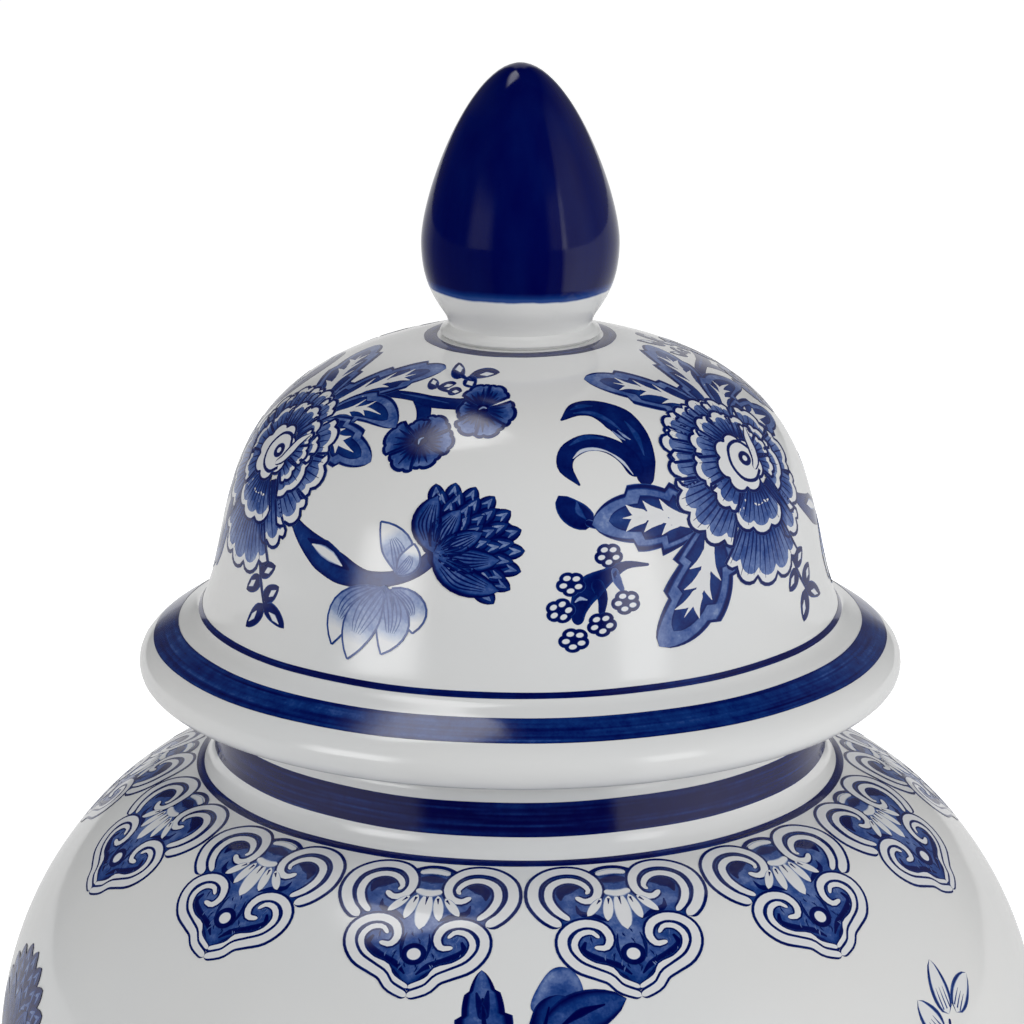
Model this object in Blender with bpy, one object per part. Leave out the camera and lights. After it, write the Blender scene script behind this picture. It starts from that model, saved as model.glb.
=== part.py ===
"""Ginger jar: a footed porcelain vessel with a domed, flanged lid and a bud finial.

Origin: centre of the underside of the foot pads. +Z is up and is the jar's turning axis.
Every piece is turned about +Z, apart from the four felt pads under the foot ring.
Radii and heights below are in millimetres and become metres through MM.
"""
import math

import bmesh
import bpy
import numpy as np

MM = 0.001
MERGE_DISTANCE = 0.00005
SAME_POINT = 0.01

# Driving dimensions, in millimetres
GAP = 0.3
TURNED_STEPS = 60
FINIAL_STEPS = 36
PAD_STEPS = 16

PAD_COUNT = 4
PAD_RADIUS = 4.0
PAD_THICKNESS = 1.5
PAD_CIRCLE = 75.0
PAD_EDGE_DEG = 30.0

FOOT_Z = PAD_THICKNESS + GAP
FOOT_OUTER = 79.5
FOOT_INNER = 70.5
FOOT_FLARE = 81.0
FOOT_BEVEL = 2.6
BASE_RECESS_Z = 8.0
RECESS_FILLET = 3.0
ANKLE_RADIUS = 77.0
ANKLE_Z = 26.0
BELLY_RADIUS = 130.3
BELLY_Z = 220.7
WALL = 5.5
FLOOR_Z = 14.5
FLOOR_EDGE_RUN = 16.0
FLOOR_EDGE_Z = FLOOR_Z + 6.0

NECK_RADIUS = 74.6
NECK_BORE = 68.5
NECK_FLARE_RADIUS = 75.2
NECK_FLARE_Z = 303.7
BORE_FLARE = 3.0
BORE_FLARE_Z = 293.5
BORE_FOOT_Z = 302.1
SHOULDER_RADIUS = 79.8
SHOULDER_Z = 298.1
RIM_Z = 316.0
RIM_EDGE = 1.2

SEAT_Z = RIM_Z + GAP
SEAT_RADIUS = 75.6
SEAT_EASE_RADIUS = 77.0
SEAT_EASE_Z = SEAT_Z + 1.6
UNDER_LIP_RADIUS = 81.7
UNDER_LIP_Z = SEAT_Z + 2.4
FLANGE_RADIUS = 93.2
FLANGE_LIP_Z = 325.1
LIP_TOP_RADIUS = 89.7
LIP_TOP_Z = 331.0
FLANGE_BREAK_RADIUS = 83.5
FLANGE_BREAK_Z = 335.0
DOME_RADIUS = 78.5
DOME_Z = 338.0
CROWN_RADIUS = 20.6
CROWN_Z = 405.0
LID_WALL = 5.0
LID_BORE = 60.5

COLLAR_OUTER = 66.3
COLLAR_INNER = 61.0
COLLAR_DROP = 18.0

FINIAL_FOOT_RADIUS = 19.4
FINIAL_FOOT_EDGE = 0.8
FINIAL_NECK_RADIUS = 17.2
FINIAL_NECK_Z = 408.2
FINIAL_RADIUS = 23.8
FINIAL_BULGE_Z = 427.6
FINIAL_TIP_Z = 470.9

# How far each curve's two handles stand from its two ends, as (radius, height)
NECK_FLARE_PULLS = ((0.2, -3.4), (-2.6, 0.8))
SHOULDER_PULLS = ((19.1, -3.9), (0.0, 46.6))
LOWER_PULLS = ((0.0, -61.0), (2.5, 74.0))
FOOT_FLARE_PULLS = ((-0.4, -9.0), (-2.6, 5.4))
DOME_PULLS = ((59.3, -10.5), (-11.2, 19.9))
LIP_PULLS = ((2.6, -2.0), (0.0, 2.4))
UNDER_LIP_PULLS = ((0.0, -4.2), (7.1, 0.2))
THROAT_PULLS = ((0.5, 11.0), (-3.0, -7.0))
BUD_PULLS = ((11.9, -0.1), (0.0, 12.0))
WAIST_PULLS = ((0.0, -12.9), (0.1, 3.1))
BEAD_PULLS = ((0.4, -1.2), (0.0, 1.2))

# Points along each curve
SHOULDER_POINTS = 9
LOWER_POINTS = 10
DOME_POINTS = 11
BUD_POINTS = 10
LIP_POINTS = 6
SMALL_CURVE_POINTS = 5

PORCELAIN = (0.86, 0.88, 0.90)
COBALT = (0.012, 0.022, 0.16)
FELT = (0.16, 0.15, 0.14)


def clear_scene():
    """Removes whatever objects are open."""
    for item in list(bpy.data.objects):
        bpy.data.objects.remove(item, do_unlink=True)


def bezier(start, end, pulls, count):
    """Points of a cubic curve from start to end, both included."""
    first, last = np.array(start, float), np.array(end, float)
    corners = [first, first + pulls[0], last + pulls[1], last]
    points = []
    for share in np.linspace(0.0, 1.0, count):
        rest = 1.0 - share
        point = rest ** 3 * corners[0] + 3 * rest ** 2 * share * corners[1]
        point += 3 * rest * share ** 2 * corners[2] + share ** 3 * corners[3]
        points.append(tuple(point))
    return points


def join(*runs):
    """One outline from several runs of points, with a shared end kept once."""
    outline = []
    for run in runs:
        for point in run:
            if not outline or math.dist(outline[-1], point) > SAME_POINT:
                outline.append(point)
    return outline


def offset_inward(points, distance):
    """A run that goes down an outer face, moved into the wall by distance."""
    run = np.array(points, float)
    along = np.gradient(run, axis=0)
    along /= np.linalg.norm(along, axis=1)[:, None]
    inward = np.stack([along[:, 1], -along[:, 0]], axis=1)
    return [tuple(point) for point in run + inward * distance]


def outer_wall():
    """The body's outer face from the foot of the neck, over the belly, down to the ankle."""
    crease = (SHOULDER_RADIUS, SHOULDER_Z)
    belly = (BELLY_RADIUS, BELLY_Z)
    ankle = (ANKLE_RADIUS, ANKLE_Z)
    upper = bezier(crease, belly, SHOULDER_PULLS, SHOULDER_POINTS)
    lower = bezier(belly, ankle, LOWER_PULLS, LOWER_POINTS)
    return join(upper, lower)


def inner_wall():
    """The cavity's face from the bore, over the belly, round to the flat floor."""
    bore = [(NECK_BORE, RIM_Z - RIM_EDGE), (NECK_BORE, BORE_FOOT_Z), (NECK_BORE + BORE_FLARE, BORE_FLARE_Z)]
    side = offset_inward(outer_wall(), WALL)[1:-1]
    edge_start = side[-1]
    edge_end = (edge_start[0] - FLOOR_EDGE_RUN, FLOOR_Z)
    edge_pulls = ((-0.5, FLOOR_EDGE_Z - edge_start[1]), (0.6 * FLOOR_EDGE_RUN, 0.0))
    floor_edge = bezier(edge_start, edge_end, edge_pulls, SMALL_CURVE_POINTS)
    return join(bore, side, floor_edge, [(0.0, FLOOR_Z)])


def jar_outline():
    """Half section: floor, inner wall, neck rim, outer wall, foot ring, recessed base."""
    rim = [(NECK_BORE + RIM_EDGE, RIM_Z), (NECK_RADIUS - RIM_EDGE, RIM_Z), (NECK_RADIUS, RIM_Z - RIM_EDGE)]
    neck_foot = (NECK_FLARE_RADIUS, NECK_FLARE_Z)
    crease = (SHOULDER_RADIUS, SHOULDER_Z)
    neck_flare = bezier(neck_foot, crease, NECK_FLARE_PULLS, SMALL_CURVE_POINTS)
    ankle = (ANKLE_RADIUS, ANKLE_Z)
    foot_edge = (FOOT_FLARE, FOOT_Z + FOOT_BEVEL)
    foot_flare = bezier(ankle, foot_edge, FOOT_FLARE_PULLS, SMALL_CURVE_POINTS)
    ring = [(FOOT_OUTER, FOOT_Z), (FOOT_INNER, FOOT_Z)]
    fillet = [(FOOT_INNER - RECESS_FILLET / 2, BASE_RECESS_Z - RECESS_FILLET / 3)]
    base = [(FOOT_INNER - RECESS_FILLET, BASE_RECESS_Z), (0.0, BASE_RECESS_Z)]
    return join(reversed(inner_wall()), rim, neck_flare, outer_wall(), foot_flare, ring, fillet, base)


def lid_outline():
    """Half section: crown, dome, sloping flange, rounded lip, seat, bore and hollow dome."""
    crease = (DOME_RADIUS, DOME_Z)
    lip = (FLANGE_RADIUS, FLANGE_LIP_Z)
    bore_mouth = (LID_BORE, SEAT_Z)
    dome = bezier((CROWN_RADIUS, CROWN_Z), crease, DOME_PULLS, DOME_POINTS)
    flange = [(FLANGE_BREAK_RADIUS, FLANGE_BREAK_Z)]
    lip_top = bezier((LIP_TOP_RADIUS, LIP_TOP_Z), lip, LIP_PULLS, SMALL_CURVE_POINTS)
    under_lip = bezier(lip, (UNDER_LIP_RADIUS, UNDER_LIP_Z), UNDER_LIP_PULLS, LIP_POINTS)
    seat = [(SEAT_EASE_RADIUS, SEAT_EASE_Z), (SEAT_RADIUS, SEAT_Z)]
    hollow = offset_inward(dome, LID_WALL)
    throat = bezier(bore_mouth, hollow[-1], THROAT_PULLS, SMALL_CURVE_POINTS)
    crown = [(0.0, CROWN_Z)]
    ceiling = [(0.0, CROWN_Z - LID_WALL)]
    return join(crown, dome, flange, lip_top, under_lip, seat, throat, reversed(hollow), ceiling)


def collar_outline():
    """Closed half section of the locating ring that drops into the neck."""
    top = SEAT_Z - GAP
    bottom = SEAT_Z - COLLAR_DROP
    outer = [
        (COLLAR_OUTER, top),
        (COLLAR_OUTER, bottom + RIM_EDGE),
        (COLLAR_OUTER - RIM_EDGE, bottom),
    ]
    inner = [
        (COLLAR_INNER + RIM_EDGE, bottom),
        (COLLAR_INNER, bottom + RIM_EDGE),
        (COLLAR_INNER, top),
    ]
    return outer + inner


def finial_outline():
    """Half section of the bud, from its tip to its flat foot."""
    foot_z = CROWN_Z + GAP
    tip = (0.0, FINIAL_TIP_Z)
    bulge = (FINIAL_RADIUS, FINIAL_BULGE_Z)
    neck = (FINIAL_NECK_RADIUS, FINIAL_NECK_Z)
    foot_side = (FINIAL_FOOT_RADIUS, foot_z + FINIAL_FOOT_EDGE)
    bud = bezier(tip, bulge, BUD_PULLS, BUD_POINTS)
    waist = bezier(bulge, neck, WAIST_PULLS, LIP_POINTS)
    bead = bezier(neck, foot_side, BEAD_PULLS, SMALL_CURVE_POINTS)
    foot = [(FINIAL_FOOT_RADIUS - FINIAL_FOOT_EDGE, foot_z), (0.0, foot_z)]
    return join(bud, waist, bead, foot)


def material(name, color, roughness):
    """A Principled material with one colour."""
    made = bpy.data.materials.new(name)
    made.use_nodes = True
    shader = made.node_tree.nodes["Principled BSDF"]
    shader.inputs["Base Color"].default_value = (*color, 1.0)
    shader.inputs["Roughness"].default_value = roughness
    shader.inputs["Metallic"].default_value = 0.0
    return made


def add_object(name, mesh, finish):
    """Links a mesh to the scene as a named object with one material."""
    made = bpy.data.objects.new(name, mesh)
    bpy.context.scene.collection.objects.link(made)
    mesh.materials.append(finish)
    return made


def turned(name, outline, steps, finish, closed=False):
    """A solid turned about +Z from its half section with a Screw modifier."""
    mesh = bpy.data.meshes.new(name)
    points = [(radius * MM, 0.0, height * MM) for radius, height in outline]
    edges = [(index, index + 1) for index in range(len(points) - 1)]
    if closed:
        edges.append((len(points) - 1, 0))
    mesh.from_pydata(points, edges, [])
    made = add_object(name, mesh, finish)
    screw = made.modifiers.new("turn", "SCREW")
    screw.axis = "Z"
    screw.angle = math.tau
    screw.steps = steps
    screw.render_steps = steps
    screw.use_merge_vertices = True
    screw.merge_threshold = MERGE_DISTANCE
    screw.use_smooth_shade = True
    return made


def foot_pad(index, finish):
    """A felt disc on the foot ring's circle."""
    angle = math.tau * (index + 0.5) / PAD_COUNT
    mesh = bpy.data.meshes.new(f"foot_pad_{index + 1}")
    disc = bmesh.new()
    bmesh.ops.create_cone(
        disc,
        cap_ends=True,
        segments=PAD_STEPS,
        radius1=PAD_RADIUS * MM,
        radius2=PAD_RADIUS * MM,
        depth=PAD_THICKNESS * MM,
    )
    disc.to_mesh(mesh)
    disc.free()
    mesh.shade_smooth()
    mesh.set_sharp_from_angle(angle=math.radians(PAD_EDGE_DEG))
    made = add_object(mesh.name, mesh, finish)
    made.location = (
        PAD_CIRCLE * MM * math.cos(angle),
        PAD_CIRCLE * MM * math.sin(angle),
        PAD_THICKNESS * MM / 2,
    )
    return made


def build():
    """Models the jar, its lid pieces and its pads."""
    clear_scene()
    turned("jar_body", jar_outline(), TURNED_STEPS, material("jar_glaze", PORCELAIN, 0.12))
    turned("lid_cap", lid_outline(), TURNED_STEPS, material("lid_glaze", PORCELAIN, 0.12))
    turned("lid_collar", collar_outline(), TURNED_STEPS, material("collar_bisque", PORCELAIN, 0.5), True)
    turned("finial", finial_outline(), FINIAL_STEPS, material("finial_glaze", COBALT, 0.1))
    felt = material("felt", FELT, 0.95)
    for index in range(PAD_COUNT):
        foot_pad(index, felt)


build()
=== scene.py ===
"""The ginger jar's finished look: glazed porcelain and its painted decoration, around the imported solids."""
import math

import bpy
import numpy as np
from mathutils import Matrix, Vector


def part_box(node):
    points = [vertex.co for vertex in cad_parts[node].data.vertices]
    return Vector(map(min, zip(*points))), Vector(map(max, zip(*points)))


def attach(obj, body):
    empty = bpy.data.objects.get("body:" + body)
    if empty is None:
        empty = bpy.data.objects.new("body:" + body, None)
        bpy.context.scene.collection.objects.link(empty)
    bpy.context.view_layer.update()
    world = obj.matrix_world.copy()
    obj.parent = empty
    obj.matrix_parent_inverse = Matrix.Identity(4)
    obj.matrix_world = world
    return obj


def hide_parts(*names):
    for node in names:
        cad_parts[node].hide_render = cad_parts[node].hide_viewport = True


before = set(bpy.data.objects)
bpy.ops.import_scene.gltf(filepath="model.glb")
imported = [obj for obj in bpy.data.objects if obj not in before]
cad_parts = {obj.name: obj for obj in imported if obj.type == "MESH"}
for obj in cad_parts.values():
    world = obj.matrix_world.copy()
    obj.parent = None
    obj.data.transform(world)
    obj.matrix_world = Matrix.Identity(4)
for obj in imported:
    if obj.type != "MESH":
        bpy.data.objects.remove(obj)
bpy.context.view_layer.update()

MM = 0.001
TURN_STEPS = 200
BUD_STEPS = 128
PAD_STEPS = 48
OUTLINE_STEP = 1.8
CORNER_DEG = 50.0
SAME_PLACE = 1e-5
NEAR = 0.05

# Painted layers, in millimetres above and below the glaze
PAINT_LIFT = 0.03
PAINT_LAYER = 0.012
PAINT_DEPTH = 0.12
PAINT_CELL = 2.0
ROUND_TIP = 0.55
BLOB_EYE = 0.004

# Heights on the jar that bound its painted zones, in millimetres
CROWN_Z = 405.0
LID_CREASE_Z = 338.0
LIP_Z = 326.0
SEAT_BARE_Z = 317.0
NECK_TOP_Z = 314.5
SHOULDER_CREASE_Z = 298.1
FOOT_EDGE_Z = 4.5
FOOT_BARE_Z = 2.4

# Painted decoration
GLAZE_SLOTS = {"jar": "vessel_glaze", "lid": "lid_glaze"}
CROWN_RADIUS = 15.0
CROWN_CHART_RADIUS = 22.0
FLANGE_CHART_RADIUS = 90.0
NECK_CHART_RADIUS = 75.0
LID_REPEATS = 3
LID_SPRAY_AZIMUTH = 56.0
LID_SPRAY_LEVEL = 48.3
LID_CHART_RADIUS = 60.0
LAPPETS = 13
LAPPET_AZIMUTH = 14.2
LAPPET_GROUPS = 3
SHOULDER_CHART_RADIUS = 100.0
BELLY_CHART_RADIUS = 120.0
BELLY_SPRAY_LEVEL = 125.0
BELLY_SPRAY_AZIMUTH = 4.0
BELLY_SPRAYS = 2
BELLY_SCALE = 2.0
FOOT_CHART_RADIUS = 90.0
FOOT_PANELS = 24
FOOT_PANEL_RISE = 17.0
STREAKS = 0.09
STREAK_KNOTS = 24
RING_CELLS = 300
RING_LAYER = 4

# Materials: linear colours, glaze relief in metres
PORCELAIN_COOL = (0.80, 0.815, 0.82)
PORCELAIN_WARM = (0.825, 0.825, 0.815)
GLAZE_ROUGHNESS = 0.10
GLAZE_IOR = 1.5
WAVE_DEPTH = 0.0006
PEEL_DEPTH = 0.000012
CLAY_GRAIN = 1500.0
GRAIN_DEPTH = 0.00005
NAP_DEPTH = 0.0003
COBALT_STOPS = (
    (0.0, (0.78, 0.79, 0.81)), (0.22, (0.40, 0.48, 0.66)), (0.40, (0.13, 0.20, 0.44)),
    (0.56, (0.032, 0.08, 0.29)), (0.70, (0.005, 0.036, 0.20)), (0.86, (0.002, 0.012, 0.125)),
    (1.0, (0.0004, 0.001, 0.068)),
)
POOLING = 0.55
PIGMENT_GRAIN = 0.16
FINIAL_BLUE_Z = 417.2
FINIAL_EDGE_WOBBLE = 1.6
FINIAL_INK = 0.97
# Painted shade on the bud's reflections: its blue glaze mirrors little on the side it turns to the front, up
# to an azimuth and a height
BUD_SHADE_EDGE = (24.0, 27.0)
BUD_SHADE_TOP = (0.459, 0.463)
BUD_SHADE_SPECULAR = (0.34, 0.03)
BISQUE_LIGHT = (0.80, 0.77, 0.71)
BISQUE_DARK = (0.68, 0.64, 0.57)
BISQUE_STAIN = (0.55, 0.48, 0.40)
FELT_PADS = 4
FELT_DARK = (0.10, 0.095, 0.09)
FELT_LIGHT = (0.24, 0.23, 0.215)

# Stage, in metres, degrees and watts
FLOOR_HALF = 20.0
FLOOR_COLOUR = (0.86, 0.86, 0.86)
FLOOR_GLOW = (0.1, 0.8)
WORLD_LIGHT = 0.24
WORLD_SHOWN = 1.2
# What the glaze mirrors: walls all round as (degrees from the front towards +X, brightness), and bright
# panels as (azimuth, elevation, half width, half height, softness, brightness) in degrees
MIRRORED_WALLS = (
    (-180, 0.08), (-36, 0.05), (-34, 0.0), (30, 0.0), (33, 0.4), (80, 0.45), (100, 0.2), (180, 0.12),
)
WALL_TOP = (22.0, 52.0)
MIRRORED_PANELS = (
    (-50.0, 6.0, 5.0, 7.0, 16.0, 4.8),
    (45.0, 6.0, 4.0, 12.0, 10.0, 2.6),
    (-120.0, 75.0, 34.0, 3.0, 12.0, 4.0),
    (-180.0, 10.0, 10.0, 40.0, 12.0, 0.6),
    (180.0, 10.0, 10.0, 40.0, 12.0, 0.6),
)
# The floor as the glaze mirrors it: its colour, and its glow as (degrees from the front, brightness)
MIRRORED_FLOOR = (0.03, 0.03, 0.03)
MIRRORED_GROUND = (
    (-180, 0.8), (-110, 0.5), (-70, 0.6), (-37, 0.45), (-33, 0.0),
    (32, 0.0), (35, 0.7), (70, 0.9), (110, 0.5), (180, 0.8),
)
AIM_HEIGHT = 0.36
# Lights as (name, azimuth, distance, height, width, tallness, watts)
SOFTBOXES = (
    ("softbox_left", -58.0, 1.45, 0.82, 0.56, 1.10, 7.4),
    ("softbox_right", 58.0, 1.45, 0.82, 0.56, 1.10, 10.8),
    ("softbox_back", 180.0, 1.60, 0.80, 0.90, 0.90, 6.0),
    ("overhead", -40.0, 0.20, 1.90, 0.50, 0.50, 2.4),
)
CAMERA_PLACE = (-0.002, -0.9884, 0.6308)
CAMERA_PITCH = 15.29
CAMERA_LENS = 147.9
CAMERA_SENSOR = 36.0

# Ink strengths: 0 is bare glaze and 1 is the darkest cobalt
BARE = 0.0
PALE = 0.22
DEEP = 0.82
LINE = 0.93


# ---------------------------------------------------------------- turned shapes

def step_lengths(line):
    """Length of each step of a line."""
    return np.linalg.norm(np.diff(line, axis=0), axis=1)


def length_along(line):
    """Distance from a line's start to each of its points."""
    return np.r_[0, np.cumsum(step_lengths(line))]


def half_section(node):
    """Outline of a turned solid as (radius, height) in mm, followed along its edges on the +X side.

    An open outline starts at its higher end, and a closed one at its outer top corner."""
    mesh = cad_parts[node].data
    flat = np.empty(len(mesh.vertices) * 3)
    mesh.vertices.foreach_get("co", flat)
    places, index = np.unique(np.round(flat.reshape(-1, 3), 6), axis=0, return_inverse=True)
    index = index.ravel()
    on_side = (np.abs(places[:, 1]) < SAME_PLACE) & (places[:, 0] > -SAME_PLACE)
    pairs = np.empty(len(mesh.edges) * 2, int)
    mesh.edges.foreach_get("vertices", pairs)
    links = {}
    for a, b in index[pairs.reshape(-1, 2)]:
        if a != b and on_side[a] and on_side[b]:
            links.setdefault(a, set()).add(b)
            links.setdefault(b, set()).add(a)
    ends = [v for v in links if len(links[v]) == 1]
    if ends:
        at = max(ends, key=lambda v: places[v, 2])
    else:
        at = max(links, key=lambda v: places[v, 0] + places[v, 2])
    path = [at]
    seen = {at}
    while True:
        onward = [v for v in links[path[-1]] if v not in seen]
        if not onward:
            break
        step = min(onward, key=lambda v: places[v, 2] if len(path) == 1 else 0.0)
        path.append(step)
        seen.add(step)
    outline = places[path][:, [0, 2]] / MM
    if ends:
        outline = np.vstack([(0.0, outline[0, 1]), outline, (0.0, outline[-1, 1])])
        outline = outline[np.r_[True, step_lengths(outline) >= NEAR]]
    return outline, not ends


def smooth_through(points, samples):
    """Centripetal Catmull-Rom curve through points, with samples[i] steps in span i."""
    before = 2 * points[0] - points[1]
    after = 2 * points[-1] - points[-2]
    if points[0][0] < SAME_PLACE:
        before = points[1] * (-1, 1)
    if points[-1][0] < SAME_PLACE:
        after = points[-2] * (-1, 1)
    row = np.vstack([before, points, after])
    out = []
    for i, count in enumerate(samples):
        p = row[i:i + 4]
        knots = np.r_[0, np.cumsum(np.sqrt(np.maximum(step_lengths(p), 1e-9)))]
        t = np.linspace(knots[1], knots[2], count, endpoint=False)[:, None]

        def between(rows, k, wide):
            low, high = knots[k], knots[k + wide]
            return ((high - t) * rows[k] + (t - low) * rows[k + 1]) / (high - low)

        a = [between(p, k, 1) for k in range(3)]
        b = [between(a, k, 2) for k in range(2)]
        out.append(((knots[2] - t) * b[0] + (t - knots[1]) * b[1]) / (knots[2] - knots[1]))
    return np.vstack(out + [points[-1:]])


def refined(points, closed=False):
    """The outline as a smooth curve through its points, with true corners kept."""
    if closed:
        points = np.vstack([points, points[:1]])
    along = np.diff(points, axis=0)
    heading = np.degrees(np.arctan2(along[:, 1], along[:, 0]))
    turn = np.abs((np.diff(heading) + 180) % 360 - 180)
    corners = [0] + [i + 1 for i in range(len(turn)) if turn[i] > CORNER_DEG] + [len(points) - 1]
    runs = []
    for a, b in zip(corners[:-1], corners[1:]):
        part = points[a:b + 1]
        samples = [max(1, math.ceil(length / OUTLINE_STEP)) for length in step_lengths(part)]
        run = smooth_through(part, samples) if len(part) > 2 else part
        runs.append(run if not runs else run[1:])
    curve = np.vstack(runs)
    curve[:, 0] = np.maximum(curve[:, 0], 0.0)
    return curve[:-1] if closed else curve


def cad_outline(node):
    """A CAD solid's half section as a smooth, fine outline."""
    return refined(*half_section(node))


def linked(name, data):
    """A new object in the scene that shows a mesh, a light or a camera."""
    made = bpy.data.objects.new(name, data)
    bpy.context.scene.collection.objects.link(made)
    return made


def new_object(name, mesh, look, body, slot, *stands_for):
    """Links a mesh as a piece that rides on a body and wears one material."""
    made = linked(name, mesh)
    mesh.materials.append(look)
    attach(made, body)
    if stands_for:
        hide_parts(*stands_for)
    return made


def turned_mesh(name, outline, closed=False, steps=TURN_STEPS):
    """A fine solid turned about +Z from an outline in mm that runs down its outer side."""
    angle = np.arange(steps) * (math.tau / steps)
    verts = []
    rings = []
    for radius, height in outline:
        if radius < SAME_PLACE:
            rings.append([len(verts)])
            verts.append((0.0, 0.0, height * MM))
        else:
            rings.append(list(range(len(verts), len(verts) + steps)))
            ring = [radius * np.cos(angle), radius * np.sin(angle), np.full(steps, height)]
            verts.extend(map(tuple, np.stack(ring, axis=1) * MM))
    faces = []
    spans = list(zip(rings[:-1], rings[1:]))
    if closed:
        spans.append((rings[-1], rings[0]))
    for upper, lower in spans:
        for j in range(steps):
            k = (j + 1) % steps
            if len(upper) == 1 and len(lower) == 1:
                continue
            if len(upper) == 1:
                faces.append((upper[0], lower[j], lower[k]))
            elif len(lower) == 1:
                faces.append((upper[j], lower[0], upper[k]))
            else:
                faces.append((upper[j], lower[j], lower[k], upper[k]))
    mesh = bpy.data.meshes.new(name)
    mesh.from_pydata(verts, [], faces)
    mesh.shade_smooth()
    mesh.set_sharp_from_angle(angle=math.radians(CORNER_DEG))
    return mesh


# ---------------------------------------------------------------- painting on a turned surface

class Chart:
    """A turned surface unrolled flat: x runs round it in mm at the chart radius, s runs down it in mm."""

    def __init__(self, run, chart_radius):
        self.run = run
        self.chart_radius = chart_radius
        self.s = length_along(run)
        along = np.gradient(run, axis=0)
        along /= np.linalg.norm(along, axis=1)[:, None]
        self.normal = np.stack([-along[:, 1], along[:, 0]], axis=1)

    def stretch(self, s):
        """True width of one chart millimetre at s."""
        return np.interp(s, self.s, self.run[:, 0]) / self.chart_radius

    def place(self, x, s, lift, azimuth):
        """Points and normals in the row frame; azimuth 0 faces -Y and grows towards +X."""
        radius = np.interp(s, self.s, self.run[:, 0])
        height = np.interp(s, self.s, self.run[:, 1])
        out = np.interp(s, self.s, self.normal[:, 0])
        up = np.interp(s, self.s, self.normal[:, 1])
        angle = math.radians(azimuth) + x / self.chart_radius
        radius = radius + out * lift
        height = height + up * lift
        points = np.stack([radius * np.sin(angle), -radius * np.cos(angle), height], axis=1) * MM
        normals = np.stack([out * np.sin(angle), -out * np.cos(angle), up], axis=1)
        return points, normals


def outer_run(outline, top, bottom):
    """The part of an outline's outer side between two heights, from the top down."""
    side = outline[np.argmax(outline[:, 1]):]

    def crossing(level):
        after = int(np.argmax(side[:, 1] < level - SAME_PLACE))
        share = (side[after - 1, 1] - level) / (side[after - 1, 1] - side[after, 1])
        return after, side[after - 1] + share * (side[after] - side[after - 1])

    first, start = crossing(top)
    last, end = crossing(bottom)
    run = np.vstack([start, side[first:last], end])
    return run[np.r_[True, step_lengths(run) > NEAR]]


def fine_grid(spots, wrap, period):
    """A grid of points with rows and columns added until no cell is longer than PAINT_CELL."""
    if wrap:
        spots = np.concatenate([spots, spots[:, :1] + (period, 0, 0)], axis=1)
    for axis in (0, 1):
        span = np.linalg.norm(np.diff(spots[..., :2], axis=axis), axis=-1).max(axis=1 - axis)
        counts = np.maximum(1, np.ceil(span / PAINT_CELL)).astype(int)
        at = np.concatenate([i + np.arange(n) / n for i, n in enumerate(counts)] + [[len(counts)]])
        low = np.minimum(at.astype(int), len(counts) - 1)
        share = at - low
        share = share[:, None, None] if axis == 0 else share[None, :, None]
        spots = np.take(spots, low, axis) * (1 - share) + np.take(spots, low + 1, axis) * share
    return spots[:, :-1] if wrap else spots


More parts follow.
